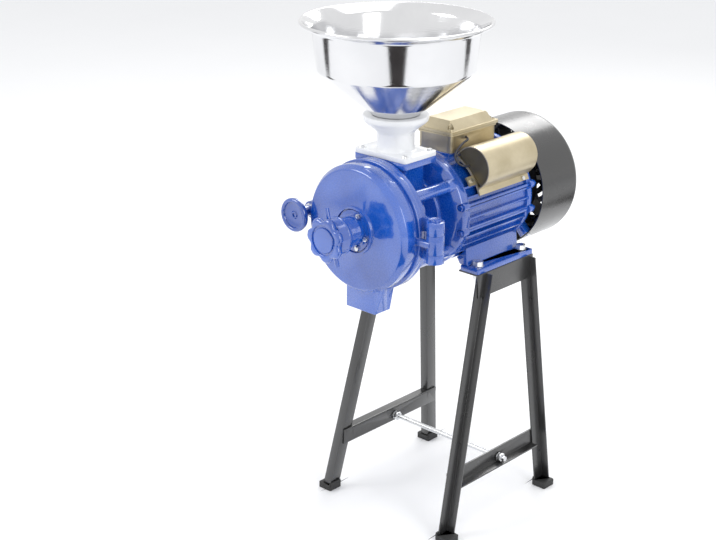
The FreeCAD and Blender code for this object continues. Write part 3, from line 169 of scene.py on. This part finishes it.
# Glossy blue over castings; the housings show the lumps of the sand mould, the knobs hardly any.
enamel = {"deep": (0.003, 0.060, 0.360), "bright": (0.008, 0.105, 0.540), "coatRoughness": 0.06, "coatIor": 2.0,
          "ior": 1.5, "patch": 9.0, "fine": 420.0, "lump": 55.0, "grain": 190.0, "bumpDepth": 0.0012}
castSkin = {"name": "blueCastEnamel", "smoothest": 0.20, "roughest": 0.34, "lumps": 1.0, "grains": 0.35,
            "bump": 0.5}
smoothSkin = {"name": "blueSmoothEnamel", "smoothest": 0.16, "roughest": 0.24, "lumps": 0.25, "grains": 0.12,
              "bump": 0.25}


def makeEnamel(skin):
    paint = Paint(skin["name"], Coat_Roughness=enamel["coatRoughness"], Coat_IOR=enamel["coatIor"],
                  IOR=enamel["ior"])
    patches = paint.noise(enamel["patch"])
    paint.set(Base_Color=paint.blend(paint.band(patches, 0.35, 0.65), enamel["deep"], enamel["bright"]))
    fine = paint.noise(enamel["fine"], 2.0)
    paint.set(Roughness=paint.band(fine, 0.3, 0.7, skin["smoothest"], skin["roughest"]))
    paint.set(Coat_Weight=paint.band(patches, 0.3, 0.7, 0.7, 1.0))
    lumps = paint.noise(enamel["lump"]) * skin["lumps"] + paint.noise(enamel["grain"], 2.0) * skin["grains"]
    paint.bump(lumps, skin["bump"], enamel["bumpDepth"])
    return paint.material


def makePolishedSteel():
    # Spun sheet: faint rings about the hopper's own axis, and soft wipe marks.
    paint = Paint("polishedSteel", Metallic=1.0)
    x, y, z = paint.parts()
    radial = ((x * x) + ((y - hopperY) * (y - hopperY))) ** 0.5
    ringsPerMetre = 900.0
    rings = paint.lines(radial * ringsPerMetre + z * ringsPerMetre)
    wipes = paint.noise(14.0, 4.0, 0.6)
    paint.set(Base_Color=paint.blend(wipes, (0.66, 0.665, 0.68), (0.80, 0.80, 0.81)))
    paint.set(Roughness=paint.band(wipes, 0.3, 0.75, 0.05, 0.13) + paint.band(rings, 0.3, 0.7, 0.0, 0.05))
    paint.bump(rings, 0.10, 0.0004)
    return paint.material


def makeWhitePlastic():
    paint = Paint("whitePlastic", IOR=1.46, Coat_Roughness=0.15)
    tone = paint.noise(30.0, 3.0)
    paint.set(Base_Color=paint.blend(tone, (0.77, 0.78, 0.80), (0.84, 0.85, 0.86)))
    paint.set(Roughness=paint.band(tone, 0.3, 0.7, 0.26, 0.36), Coat_Weight=paint.band(tone, 0.3, 0.7, 0.1, 0.3))
    paint.bump(paint.noise(900.0, 2.0), 0.15, 0.0002)
    return paint.material


def makeMetallicPaint(name, dark, light, rough):
    # Champagne lacquer: flake sparkle under a satin film.
    paint = Paint(name, Coat_Roughness=0.25)
    flake = paint.noise(2600.0, 1.0)
    cloud = paint.noise(22.0, 3.0)
    mixed = paint.band(flake, 0.35, 0.65) * 0.35 + paint.band(cloud, 0.3, 0.7) * 0.65
    paint.set(Base_Color=paint.blend(mixed, dark, light))
    paint.set(Metallic=paint.band(flake, 0.3, 0.7, 0.55, 0.85))
    paint.set(Roughness=paint.band(cloud, 0.3, 0.7, rough - 0.05, rough + 0.06), Coat_Weight=0.15)
    paint.bump(flake, 0.12, 0.0002)
    return paint.material


def makeBlackPaint(name, tone, rough, grain):
    # Stoved black: fine orange peel, with dust and rubbing in the roughness.
    paint = Paint(name, IOR=1.5, Coat_Weight=0.6, Coat_Roughness=0.22, Coat_IOR=1.7)
    peel = paint.noise(grain, 2.0)
    wear = paint.noise(16.0, 5.0, 0.65)
    worn = (tone * 0.7, tone * 0.7, tone * 0.72)
    dusty = (tone * 1.3, tone * 1.3, tone * 1.32)
    paint.set(Base_Color=paint.blend(wear, worn, dusty))
    paint.set(Roughness=paint.band(wear, 0.3, 0.7, rough - 0.06, rough + 0.08))
    paint.bump(peel, 0.3, 0.0004)
    return paint.material


def makeZinc():
    paint = Paint("zincPlate", Metallic=1.0)
    spangle = paint.node("ShaderNodeTexVoronoi", Vector=paint.spot, Scale=260.0)
    soil = paint.noise(60.0, 4.0)
    paint.set(Base_Color=paint.blend(soil, (0.60, 0.61, 0.63), (0.80, 0.81, 0.82)))
    paint.set(Roughness=paint.band(spangle, 0.0, 0.8, 0.18, 0.36))
    paint.bump(paint.noise(700.0, 2.0), 0.2, 0.0002)
    return paint.material


def makeTurnedSteel(name, tone, rough):
    # Lathe marks run around the shaft, which lies along Y.
    paint = Paint(name, Metallic=1.0)
    alongShaft = paint.parts()[1]
    marksPerMetre = 3500.0
    marks = paint.lines(alongShaft * marksPerMetre)
    stain = paint.noise(40.0, 4.0)
    paint.set(Base_Color=paint.blend(stain, (tone * 0.8, tone * 0.8, tone * 0.82), (tone, tone, tone * 1.02)))
    paint.set(Roughness=paint.band(marks, 0.3, 0.7, rough - 0.06, rough + 0.08))
    paint.bump(marks, 0.2, 0.0002)
    return paint.material


def makeCastIron():
    paint = Paint("castIron", Metallic=0.8)
    grain = paint.noise(320.0, 4.0, 0.7)
    rust = paint.noise(24.0, 5.0, 0.6)
    paint.set(Base_Color=paint.blend(paint.band(rust, 0.55, 0.75), (0.17, 0.165, 0.16), (0.25, 0.19, 0.14)))
    paint.set(Roughness=paint.band(grain, 0.3, 0.7, 0.42, 0.66))
    paint.bump(grain, 0.5, 0.0006)
    return paint.material


def makeLamination():
    paint = Paint("laminatedSteel", Metallic=0.9)
    sheets = paint.waves("Y", 320.0)
    paint.set(Base_Color=paint.blend(sheets, (0.16, 0.16, 0.17), (0.34, 0.34, 0.35)))
    paint.set(Roughness=paint.band(sheets, 0.0, 1.0, 0.35, 0.55))
    return paint.material


def makeCopper():
    paint = Paint("windingCopper", Metallic=0.85, Coat_Roughness=0.2)
    strands = paint.waves("DIAGONAL", 260.0, 2.0)
    paint.set(Base_Color=paint.blend(strands, (0.30, 0.12, 0.05), (0.62, 0.30, 0.14)), Coat_Weight=0.4)
    paint.set(Roughness=paint.band(strands, 0.0, 1.0, 0.28, 0.5))
    paint.bump(strands, 0.5, 0.0006)
    return paint.material


def makeMoulded(name, colour, rough):
    # Rubber and plain mouldings: spark-eroded texture and a little bloom.
    paint = Paint(name, IOR=1.5)
    bloom = paint.noise(70.0, 4.0, 0.6)
    lighter = tuple(min(1.0, c * 1.6 + 0.01) for c in colour)
    paint.set(Base_Color=paint.blend(paint.band(bloom, 0.4, 0.75), colour, lighter))
    paint.set(Roughness=paint.band(bloom, 0.3, 0.7, rough - 0.08, rough + 0.06))
    paint.bump(paint.noise(1200.0, 2.0), 0.3, 0.0002)
    return paint.material


finishes = {
    "blue_enamel": makeEnamel(castSkin), "polished_steel": makePolishedSteel(),
    "white_plastic": makeWhitePlastic(), "zinc": makeZinc(), "steel": makeTurnedSteel("turnedSteel", 0.55, 0.25),
    "cast_iron": makeCastIron(), "core_steel": makeLamination(), "copper": makeCopper(),
    "gold_paint": makeMetallicPaint("champagneLacquer", (0.43, 0.36, 0.22), (0.66, 0.58, 0.41), 0.34),
    # This darker copy of the champagne lacquer is painted shade: it stands for the shadow on the capacitor's dark
    # end face.
    "bronze_paint": makeMetallicPaint("champagneLacquerPaintedShade", (0.11, 0.09, 0.05), (0.20, 0.17, 0.10), 0.42),
    "black_cover_paint": makeBlackPaint("fanCoverBlack", 0.012, 0.26, 420.0),
    "black_frame_paint": makeBlackPaint("standBlack", 0.020, 0.30, 300.0),
    "black_rubber": makeMoulded("blackRubber", (0.018, 0.018, 0.018), 0.62),
    "black_plastic": makeMoulded("blackPlastic", (0.022, 0.022, 0.024), 0.45),
    "lead_sheath": makeMoulded("leadSheath", (0.030, 0.032, 0.045), 0.34),
}
smoothBlue = makeEnamel(smoothSkin)
slotOf = {row["node"]: row["material_slot"] for row in frame["record"]["subparts"]}
bodyOf = {name: body for body, members in frame["record"]["behaviour"]["bodies"].items() for name in members}
print("materials made", len(bpy.data.materials))

# Mesh helpers
mergeGap = 0.00001
smoothDegrees = 38
turnedSides = 96
vertexMode = (True, False, False)
edgeMode = (False, True, False)


def deselect():
    bpy.ops.object.select_all(action="DESELECT")


def pick(obj):
    deselect()
    obj.select_set(True)
    bpy.context.view_layer.objects.active = obj


def edit(obj):
    pick(obj)
    bpy.ops.object.mode_set(mode="EDIT")
    bpy.ops.mesh.select_all(action="SELECT")


def clearSelection(obj, mode):
    edit(obj)
    bpy.ops.mesh.select_all(action="DESELECT")
    bpy.context.tool_settings.mesh_select_mode = mode
    leave()


def leave():
    bpy.ops.object.mode_set(mode="OBJECT")


def apply(obj, kind, **settings):
    pick(obj)
    modifier = obj.modifiers.new(kind.lower(), kind)
    for key, value in settings.items():
        setattr(modifier, key, value)
    bpy.ops.object.modifier_apply(modifier=modifier.name)


def settle(obj):
    pick(obj)
    bpy.ops.object.transform_apply(location=True, rotation=True, scale=True)


def growRings(name, stations, segments=turnedSides):
    # A circle grown ring by ring along Z: each station is (radius, height), in millimetres.
    deselect()
    radius, height = stations[0]
    bpy.ops.mesh.primitive_circle_add(vertices=segments, radius=radius * mm, fill_type="NOTHING",
                                      location=(0, 0, height * mm))
    obj = bpy.context.object
    obj.name = name
    settle(obj)
    edit(obj)
    for wider, higher in stations[1:]:
        bpy.ops.mesh.extrude_region_move(TRANSFORM_OT_translate={"value": (0, 0, (higher - height) * mm)})
        ratio = wider / radius
        bpy.ops.transform.resize(value=(ratio, ratio, 1), center_override=(0, 0, higher * mm))
        radius, height = wider, higher
    bpy.ops.mesh.select_all(action="SELECT")
    bpy.ops.mesh.remove_doubles(threshold=mergeGap)
    bpy.ops.mesh.fill_holes(sides=0)
    bpy.ops.mesh.normals_make_consistent(inside=False)
    leave()
    return obj


def placeUpright(obj):
    obj.location = at(0, 0, 0)
    settle(obj)


def placeAlongShaft(obj, x=0.0):
    # The growing axis turns from Z to Y.
    obj.rotation_euler = (-math.pi / 2, 0, 0)
    settle(obj)
    obj.location = at(x, 0, 0)
    settle(obj)


def finishPiece(obj, node, material=None, degrees=smoothDegrees):
    # Every new piece stands for one node: same body, same slot.
    pick(obj)
    bpy.ops.object.shade_smooth_by_angle(angle=math.radians(degrees))
    obj.data.materials.clear()
    obj.data.materials.append(material or finishes[slotOf[node]])
    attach(obj, bodyOf[node])
    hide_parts(node)


def joinMeshes(main, other):
    pick(main)
    other.select_set(True)
    bpy.ops.object.join()


# Softened castings: a copy of each carried node with its loose triangles merged, its flats made
# whole and its sharp edges rounded. Each node has its edge width in millimetres.
softening = {"merge": 0.000004, "flatDegrees": 0.6, "segments": 2, "sharpDegrees": 50}
crowded = ("grinding_housing", "front_cover")        # close edges, so the bevel is clamped
castings = {
    "grinding_housing": 0.5, "front_cover": 0.5, "front_end_shield": 0.6, "rear_end_shield": 0.6,
    "stator_frame": 0.6, "right_motor_foot": 1.0, "left_motor_foot": 1.0, "terminal_box": 0.6,
    "foot_caps": 0.8, "right_bracket": 0.5, "left_bracket": 0.5, "right_front_leg": 0.4,
    "right_rear_leg": 0.4, "left_front_leg": 0.4, "left_rear_leg": 0.4, "right_crossbar": 0.4,
    "left_crossbar": 0.4, "threaded_bush": 0.4, "bush_screws": 0.3, "motor_foot_bolts": 0.3,
    "housing_bolts": 0.4, "stand_nuts": 0.3,
}


def camel(name):
    first, *rest = name.split("_")
    return first + "".join(word.capitalize() for word in rest)


def soften(node, width):
    copy = nodes[node].copy()
    copy.data = nodes[node].data.copy()
    copy.parent = None
    for key in list(copy.keys()):
        del copy[key]
    copy.name = camel(node) + "Cast"
    bpy.context.scene.collection.objects.link(copy)
    edit(copy)
    bpy.ops.mesh.customdata_custom_splitnormals_clear()
    bpy.ops.mesh.remove_doubles(threshold=softening["merge"])
    bpy.ops.mesh.dissolve_limited(angle_limit=math.radians(softening["flatDegrees"]))
    leave()
    apply(copy, "BEVEL", width=width * mm, segments=softening["segments"], limit_method="ANGLE",
          angle_limit=math.radians(softening["sharpDegrees"]), use_clamp_overlap=node in crowded)
    finishPiece(copy, node)


smoothNodes = ("star_knob", "clamp_knob", "lock_nut", "lock_levers", "hinge_pin")


def dressNodes():
    for name, obj in nodes.items():
        obj.data.materials.clear()
        obj.data.materials.append(smoothBlue if name in smoothNodes else finishes[slotOf[name]])


hopper = {"rimRadius": 140.0, "rimTop": 295.0, "bead": 2.6, "rimDrop": 12.0, "topRadius": 122.0,
          "lowRadius": 115.0, "lowHeight": 223.0, "coneEnd": 148.5, "spoutRadius": 23.9, "spoutEnd": 112.0,
          "sheet": 1.0, "beadStart": 215, "beadStep": 30, "beadPoints": 11, "sides": 160, "creaseDegrees": 50}


def addHopper():
    h = hopper
    beadRadius = h["rimRadius"] - h["bead"]
    beadHeight = h["rimTop"] - h["bead"]
    outside = [(h["spoutRadius"], h["spoutEnd"]), (h["spoutRadius"], h["coneEnd"] - 1.5),
               (h["spoutRadius"] + 1.0, h["coneEnd"] + 1.0), (h["lowRadius"] - 2.0, h["lowHeight"] - 1.8),
               (h["lowRadius"] - 0.4, h["lowHeight"] + 0.6), (h["lowRadius"], h["lowHeight"] + 3.0),
               (h["topRadius"] - 0.6, h["rimTop"] - h["rimDrop"] - 3.0),
               (h["topRadius"] + 1.0, h["rimTop"] - h["rimDrop"] + 0.6)]
    bead = []
    for step in range(h["beadPoints"]):
        angle = math.radians(h["beadStart"] + h["beadStep"] * step)
        bead.append((beadRadius + h["bead"] * math.cos(angle), beadHeight + h["bead"] * math.sin(angle)))
    inside = [(radius - h["sheet"], height + h["sheet"] * 0.4) for radius, height in reversed(outside[1:])]
    inside.append((h["spoutRadius"] - h["sheet"], h["spoutEnd"]))
    obj = growRings("hopperShell", outside + bead + inside + [outside[0]], h["sides"])
    placeUpright(obj)
    finishPiece(obj, "hopper", degrees=h["creaseDegrees"])


neck = {"bore": 24.4, "outer": 27.6, "low": 97.0, "flangeTop": 104.5, "flare": 133.0, "collar": 48.7,
        "collarLow": 149.0, "collarTop": 157.0, "seat": 34.8, "halfX": 50.5, "halfY": 35.5, "corner": 5.0,
        "cornerSegments": 5, "edge": 0.9, "edgeSegments": 2, "edgeDegrees": 30, "cutPast": 5.0}


def makeNeckPlate():
    n = neck
    deselect()
    thick = n["flangeTop"] - n["low"]
    bpy.ops.mesh.primitive_cube_add(size=1, location=at(0, 0, n["low"] + thick / 2))
    plate = bpy.context.object
    plate.scale = (2 * n["halfX"] * mm, 2 * n["halfY"] * mm, thick * mm)
    settle(plate)
    clearSelection(plate, edgeMode)
    for edge in plate.data.edges:
        ends = [plate.data.vertices[v].co for v in edge.vertices]
        edge.select = abs(ends[0].z - ends[1].z) > mm
    bpy.ops.object.mode_set(mode="EDIT")
    bpy.ops.mesh.bevel(offset=n["corner"] * mm, segments=n["cornerSegments"], affect="EDGES")
    leave()
    cutter = growRings("boreCutter", [(n["bore"], n["low"] - n["cutPast"]),
                                      (n["bore"], n["flangeTop"] + n["cutPast"])])
    placeUpright(cutter)
    apply(plate, "BOOLEAN", object=cutter, operation="DIFFERENCE")
    bpy.data.objects.remove(cutter)
    apply(plate, "BEVEL", width=n["edge"] * mm, segments=n["edgeSegments"], limit_method="ANGLE",
          angle_limit=math.radians(n["edgeDegrees"]), use_clamp_overlap=True)
    return plate


def addFeedNeck():
    n = neck
    tube = growRings("feedNeckMoulding", [
        (n["bore"], n["flangeTop"]), (n["outer"] + 4.0, n["flangeTop"]), (n["outer"] + 1.6, n["flangeTop"] + 1.0),
        (n["outer"] + 0.3, n["flangeTop"] + 3.5), (n["outer"], n["flangeTop"] + 8.0),
        (n["outer"], n["flare"] - 4.0), (n["outer"] + 1.4, n["flare"] - 0.5), (n["outer"] + 5.0, n["flare"] + 3.2),
        (n["collar"] - 4.0, n["collarLow"] - 3.2), (n["collar"] - 0.8, n["collarLow"]),
        (n["collar"], n["collarLow"] + 2.2), (n["collar"], n["collarTop"] - 1.2),
        (n["collar"] - 1.2, n["collarTop"]), (n["seat"] + 0.8, n["collarTop"]), (n["seat"], n["collarTop"] - 0.8),
        (n["bore"] + 0.6, hopper["coneEnd"]), (n["bore"], hopper["coneEnd"] - 1.0), (n["bore"], n["flangeTop"])])
    placeUpright(tube)
    joinMeshes(tube, makeNeckPlate())
    finishPiece(tube, "feed_neck")


starKnob = {"radius": 34.0, "lobes": 7, "valley": 0.84, "front": -153.0, "thick": 11.0, "bore": 8.1,
            "grooveIn": 18.6, "grooveOut": 22.6, "grooveDeep": 2.5, "fixed": 24.0, "perLobe": 20,
            "firstLobe": 20.0, "lobeFlatness": 1.5}


def pullInValleys(body, k):
    # The rim goes in between the lobes, one phase of every lobe at a time.
    points = k["lobes"] * k["perLobe"]
    for phase in range(k["perLobe"]):
        share = 0.5 - 0.5 * math.cos(2 * math.pi * phase / k["perLobe"])
        factor = 1.0 - (1.0 - k["valley"]) * share ** k["lobeFlatness"]
        clearSelection(body, vertexMode)
        for vertex in body.data.vertices:
            outside = math.hypot(vertex.co.x, vertex.co.y) >= k["fixed"] * mm
            turn = math.atan2(vertex.co.y, vertex.co.x) / (2 * math.pi) * points
            vertex.select = outside and round(turn) % k["perLobe"] == phase
        bpy.ops.object.mode_set(mode="EDIT")
        bpy.ops.transform.resize(value=(factor, factor, 1), center_override=(0, 0, 0))
        leave()


def addStarKnob():
    k = starKnob
    back = k["front"] + k["thick"]
    body = growRings("starKnobCasting", [
        (0.4, k["front"]), (k["grooveIn"] - 0.5, k["front"]), (k["grooveIn"] + 0.1, k["front"] + 0.6),
        (k["grooveIn"] + 0.5, k["front"] + k["grooveDeep"]), (k["grooveOut"] - 0.5, k["front"] + k["grooveDeep"]),
        (k["grooveOut"], k["front"] + 0.6), (k["grooveOut"] + 0.8, k["front"]), (k["radius"] - 4.4, k["front"]),
        (k["radius"] - 2.0, k["front"] + 0.8), (k["radius"] - 0.5, k["front"] + 2.4),
        (k["radius"], k["front"] + 4.6), (k["radius"] - 0.4, back - 3.2), (k["radius"] - 1.8, back - 1.2),
        (k["radius"] - 4.2, back),
        (k["bore"], back)], k["lobes"] * k["perLobe"])
    pullInValleys(body, k)
    body.rotation_euler = (0, 0, math.radians(-k["firstLobe"]))
    settle(body)
    placeAlongShaft(body)
    finishPiece(body, "star_knob", smoothBlue)


lockNut = {"radius": 27.0, "lip": 28.5, "front": -141.0, "back": -121.0, "bore": 8.3}


def addLockNut():
    n = lockNut
    body = growRings("lockNutCasting", [
        (n["bore"], n["front"]), (n["radius"] - 2.6, n["front"]), (n["radius"] - 0.9, n["front"] + 0.7),
        (n["radius"], n["front"] + 2.4), (n["radius"], n["back"] - 4.4), (n["radius"] + 0.5, n["back"] - 3.4),
        (n["lip"], n["back"] - 2.8), (n["lip"], n["back"] - 0.5), (n["lip"] - 0.5, n["back"]),
        (n["bore"], n["back"]), (n["bore"], n["front"])])
    placeAlongShaft(body)
    finishPiece(body, "lock_nut", smoothBlue)


clampKnob = {"x": -114.0, "radius": 26.0, "back": -92.8, "thick": 9.0, "neck": 9.0, "neckEnd": -65.6, "stud": 5.0,
             "sides": 80}


def addClampKnob():
    k = clampKnob
    front = k["back"] - k["thick"]
    body = growRings("clampKnobCasting", [
        (0.4, front + 4.6), (2.6, front + 4.6), (3.0, front + 2.9), (4.8, front + 2.6), (6.4, front + 4.4),
        (k["radius"] - 8.5, front + 4.2), (k["radius"] - 6.6, front + 3.4), (k["radius"] - 5.8, front + 0.9),
        (k["radius"] - 4.6, front), (k["radius"] - 2.8, front), (k["radius"] - 1.4, front + 0.4),
        (k["radius"] - 0.2, front + 1.9), (k["radius"], front + 4.0),
        (k["radius"] - 0.8, k["back"] - 1.2), (k["radius"] - 2.6, k["back"]), (k["neck"] + 4.0, k["back"] + 0.4),
        (k["neck"] + 0.9, k["back"] + 2.6), (k["neck"], k["back"] + 6.0), (k["neck"] - 1.0, k["neckEnd"]),
        (k["stud"] + 0.1, k["neckEnd"])], k["sides"])
    placeAlongShaft(body, k["x"])
    finishPiece(body, "clamp_knob", smoothBlue)


lead = {"radius": 1.8, "length": 0.0900, "ringSteps": 5, "runSteps": 12, "points": [
    (31.0, 124.0, 103.0), (40.0, 121.0, 102.5), (41.5, 108.0, 100.5), (42.0, 95.0, 95.0), (44.0, 83.0, 87.0),
    (54.9, 75.5, 77.0), (63.9, 82.0, 72.2), (65.3, 95.5, 71.2)]}


def addLead():
    curve = bpy.data.curves.new("capacitorLeadSheath", "CURVE")
    curve.dimensions = "3D"
    curve.bevel_depth = lead["radius"] * mm
    curve.bevel_resolution = lead["ringSteps"]
    curve.resolution_u = lead["runSteps"]
    curve.use_fill_caps = True
    spline = curve.splines.new("NURBS")
    spline.points.add(len(lead["points"]) - 1)
    for point, place in zip(spline.points, lead["points"]):
        point.co = (*at(*place), 1)
    spline.use_endpoint_u = True
    spline.order_u = 3
    obj = bpy.data.objects.new("capacitorLeadSheath", curve)
    bpy.context.scene.collection.objects.link(obj)
    curve.materials.append(finishes["lead_sheath"])
    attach(obj, "root")
    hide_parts("capacitor_lead")
    at(*lead["points"][0])


addCamera()
addLead()
print("camera and lead made")
dressNodes()
for nodeName, edgeWidth in castings.items():
    soften(nodeName, edgeWidth)
print("castings softened", len(castings))
addHopper()
addFeedNeck()
addStarKnob()
addLockNut()
addClampKnob()
print("turned pieces made")


# Stage: the dark strips lie outside the view and show only as bands in the polished hopper.
# Each is (name, degrees from the camera's side, nearest and farthest point, width), in metres.
strips = (("frontStrip", 0.0, 0.45, 2.0, 0.46), ("leftStrip", -118.0, 1.05, 1.9, 0.36),
          ("rightStrip", 118.0, 1.05, 1.9, 0.36))
# Each lamp is (name, place, target, size, watts), in metres.
lamps = (("keyLamp", (-1.6, -2.2, 2.4), (0, 0, 0.5), (1.4, 1.4), 30),
         ("sideLamp", (2.6, -0.6, 1.5), (0, 0, 0.5), (1.0, 1.6), 18),
         ("topLamp", (0.3, 0.6, 2.8), (0, 0, 0.6), (1.6, 1.6), 12),
         ("backLamp", (-0.9, 2.1, 2.0), (0, 0.2, 0.5), (1.6, 0.7), 18))
stage = {"floorSize": 14, "floorDrop": 0.0003, "stripLift": 0.004, "sky": (0.97, 0.98, 1.0, 1),
         "skyStrength": 0.92}


def addLamp(name, spot, target, size, watts):
    data = bpy.data.lights.new(name, "AREA")
    data.shape = "RECTANGLE"
    data.size, data.size_y = size
    data.energy = watts
    lamp = bpy.data.objects.new(name, data)
    bpy.context.scene.collection.objects.link(lamp)
    lamp.location = spot
    lamp.rotation_euler = (Vector(target) - Vector(spot)).to_track_quat("-Z", "Y").to_euler()


def addWorld():
    # A pale sky for the light it gives, plain white where the camera or a reflection sees it.
    world = bpy.data.worlds.new("studio")
    bpy.context.scene.world = world
    world.use_nodes = True
    tree = world.node_tree
    ground = tree.nodes["Background"]
    ground.inputs["Color"].default_value = stage["sky"]
    ground.inputs["Strength"].default_value = stage["skyStrength"]
    seen = tree.nodes.new("ShaderNodeBackground")
    seen.inputs["Color"].default_value = (1, 1, 1, 1)
    paths = tree.nodes.new("ShaderNodeLightPath")
    either = tree.nodes.new("ShaderNodeMath")
    either.operation = "MAXIMUM"
    mix = tree.nodes.new("ShaderNodeMixShader")
    for source, sink in ((paths.outputs["Is Camera Ray"], either.inputs[0]),
                         (paths.outputs["Is Glossy Ray"], either.inputs[1]), (either.outputs[0], mix.inputs[0]),
                         (ground.outputs[0], mix.inputs[1]), (seen.outputs[0], mix.inputs[2]),
                         (mix.outputs[0], tree.nodes["World Output"].inputs["Surface"])):
        tree.links.new(source, sink)


def addStage():
    deselect()
    bpy.ops.mesh.primitive_plane_add(size=stage["floorSize"], location=(0, 0, -stage["floorDrop"]))
    floor = bpy.context.object
    floor.name = "studioFloor"
    paint = Paint("floorPaper", Roughness=0.9, Specular_IOR_Level=0.2)
    grain = paint.noise(3.0, 2.0)
    paint.set(Base_Color=paint.blend(grain, (0.92, 0.92, 0.92), (0.94, 0.94, 0.94)))
    floor.data.materials.append(paint.material)
    dark = Paint("darkCloth", Roughness=0.95, Specular_IOR_Level=0.1)
    weave = dark.noise(700.0, 2.0)
    dark.set(Base_Color=dark.blend(weave, (0.025, 0.022, 0.022), (0.045, 0.040, 0.040)))
    for name, turn, near, far, width in strips:
        bpy.ops.mesh.primitive_plane_add(size=1)
        strip = bpy.context.object
        strip.name = name
        strip.scale = (far - near, width, 1)
        angle = math.radians(camera["azimuth"] - 90 + turn)
        middle = (near + far) / 2
        strip.rotation_euler = (0, 0, angle)
        strip.location = (middle * math.cos(angle), hopperY + middle * math.sin(angle), stage["stripLift"])
        settle(strip)
        strip.data.materials.append(dark.material)
    addWorld()
    bpy.context.scene.view_settings.view_transform = "Standard"
    for lamp in lamps:
        addLamp(*lamp)


addStage()
print("stage made")
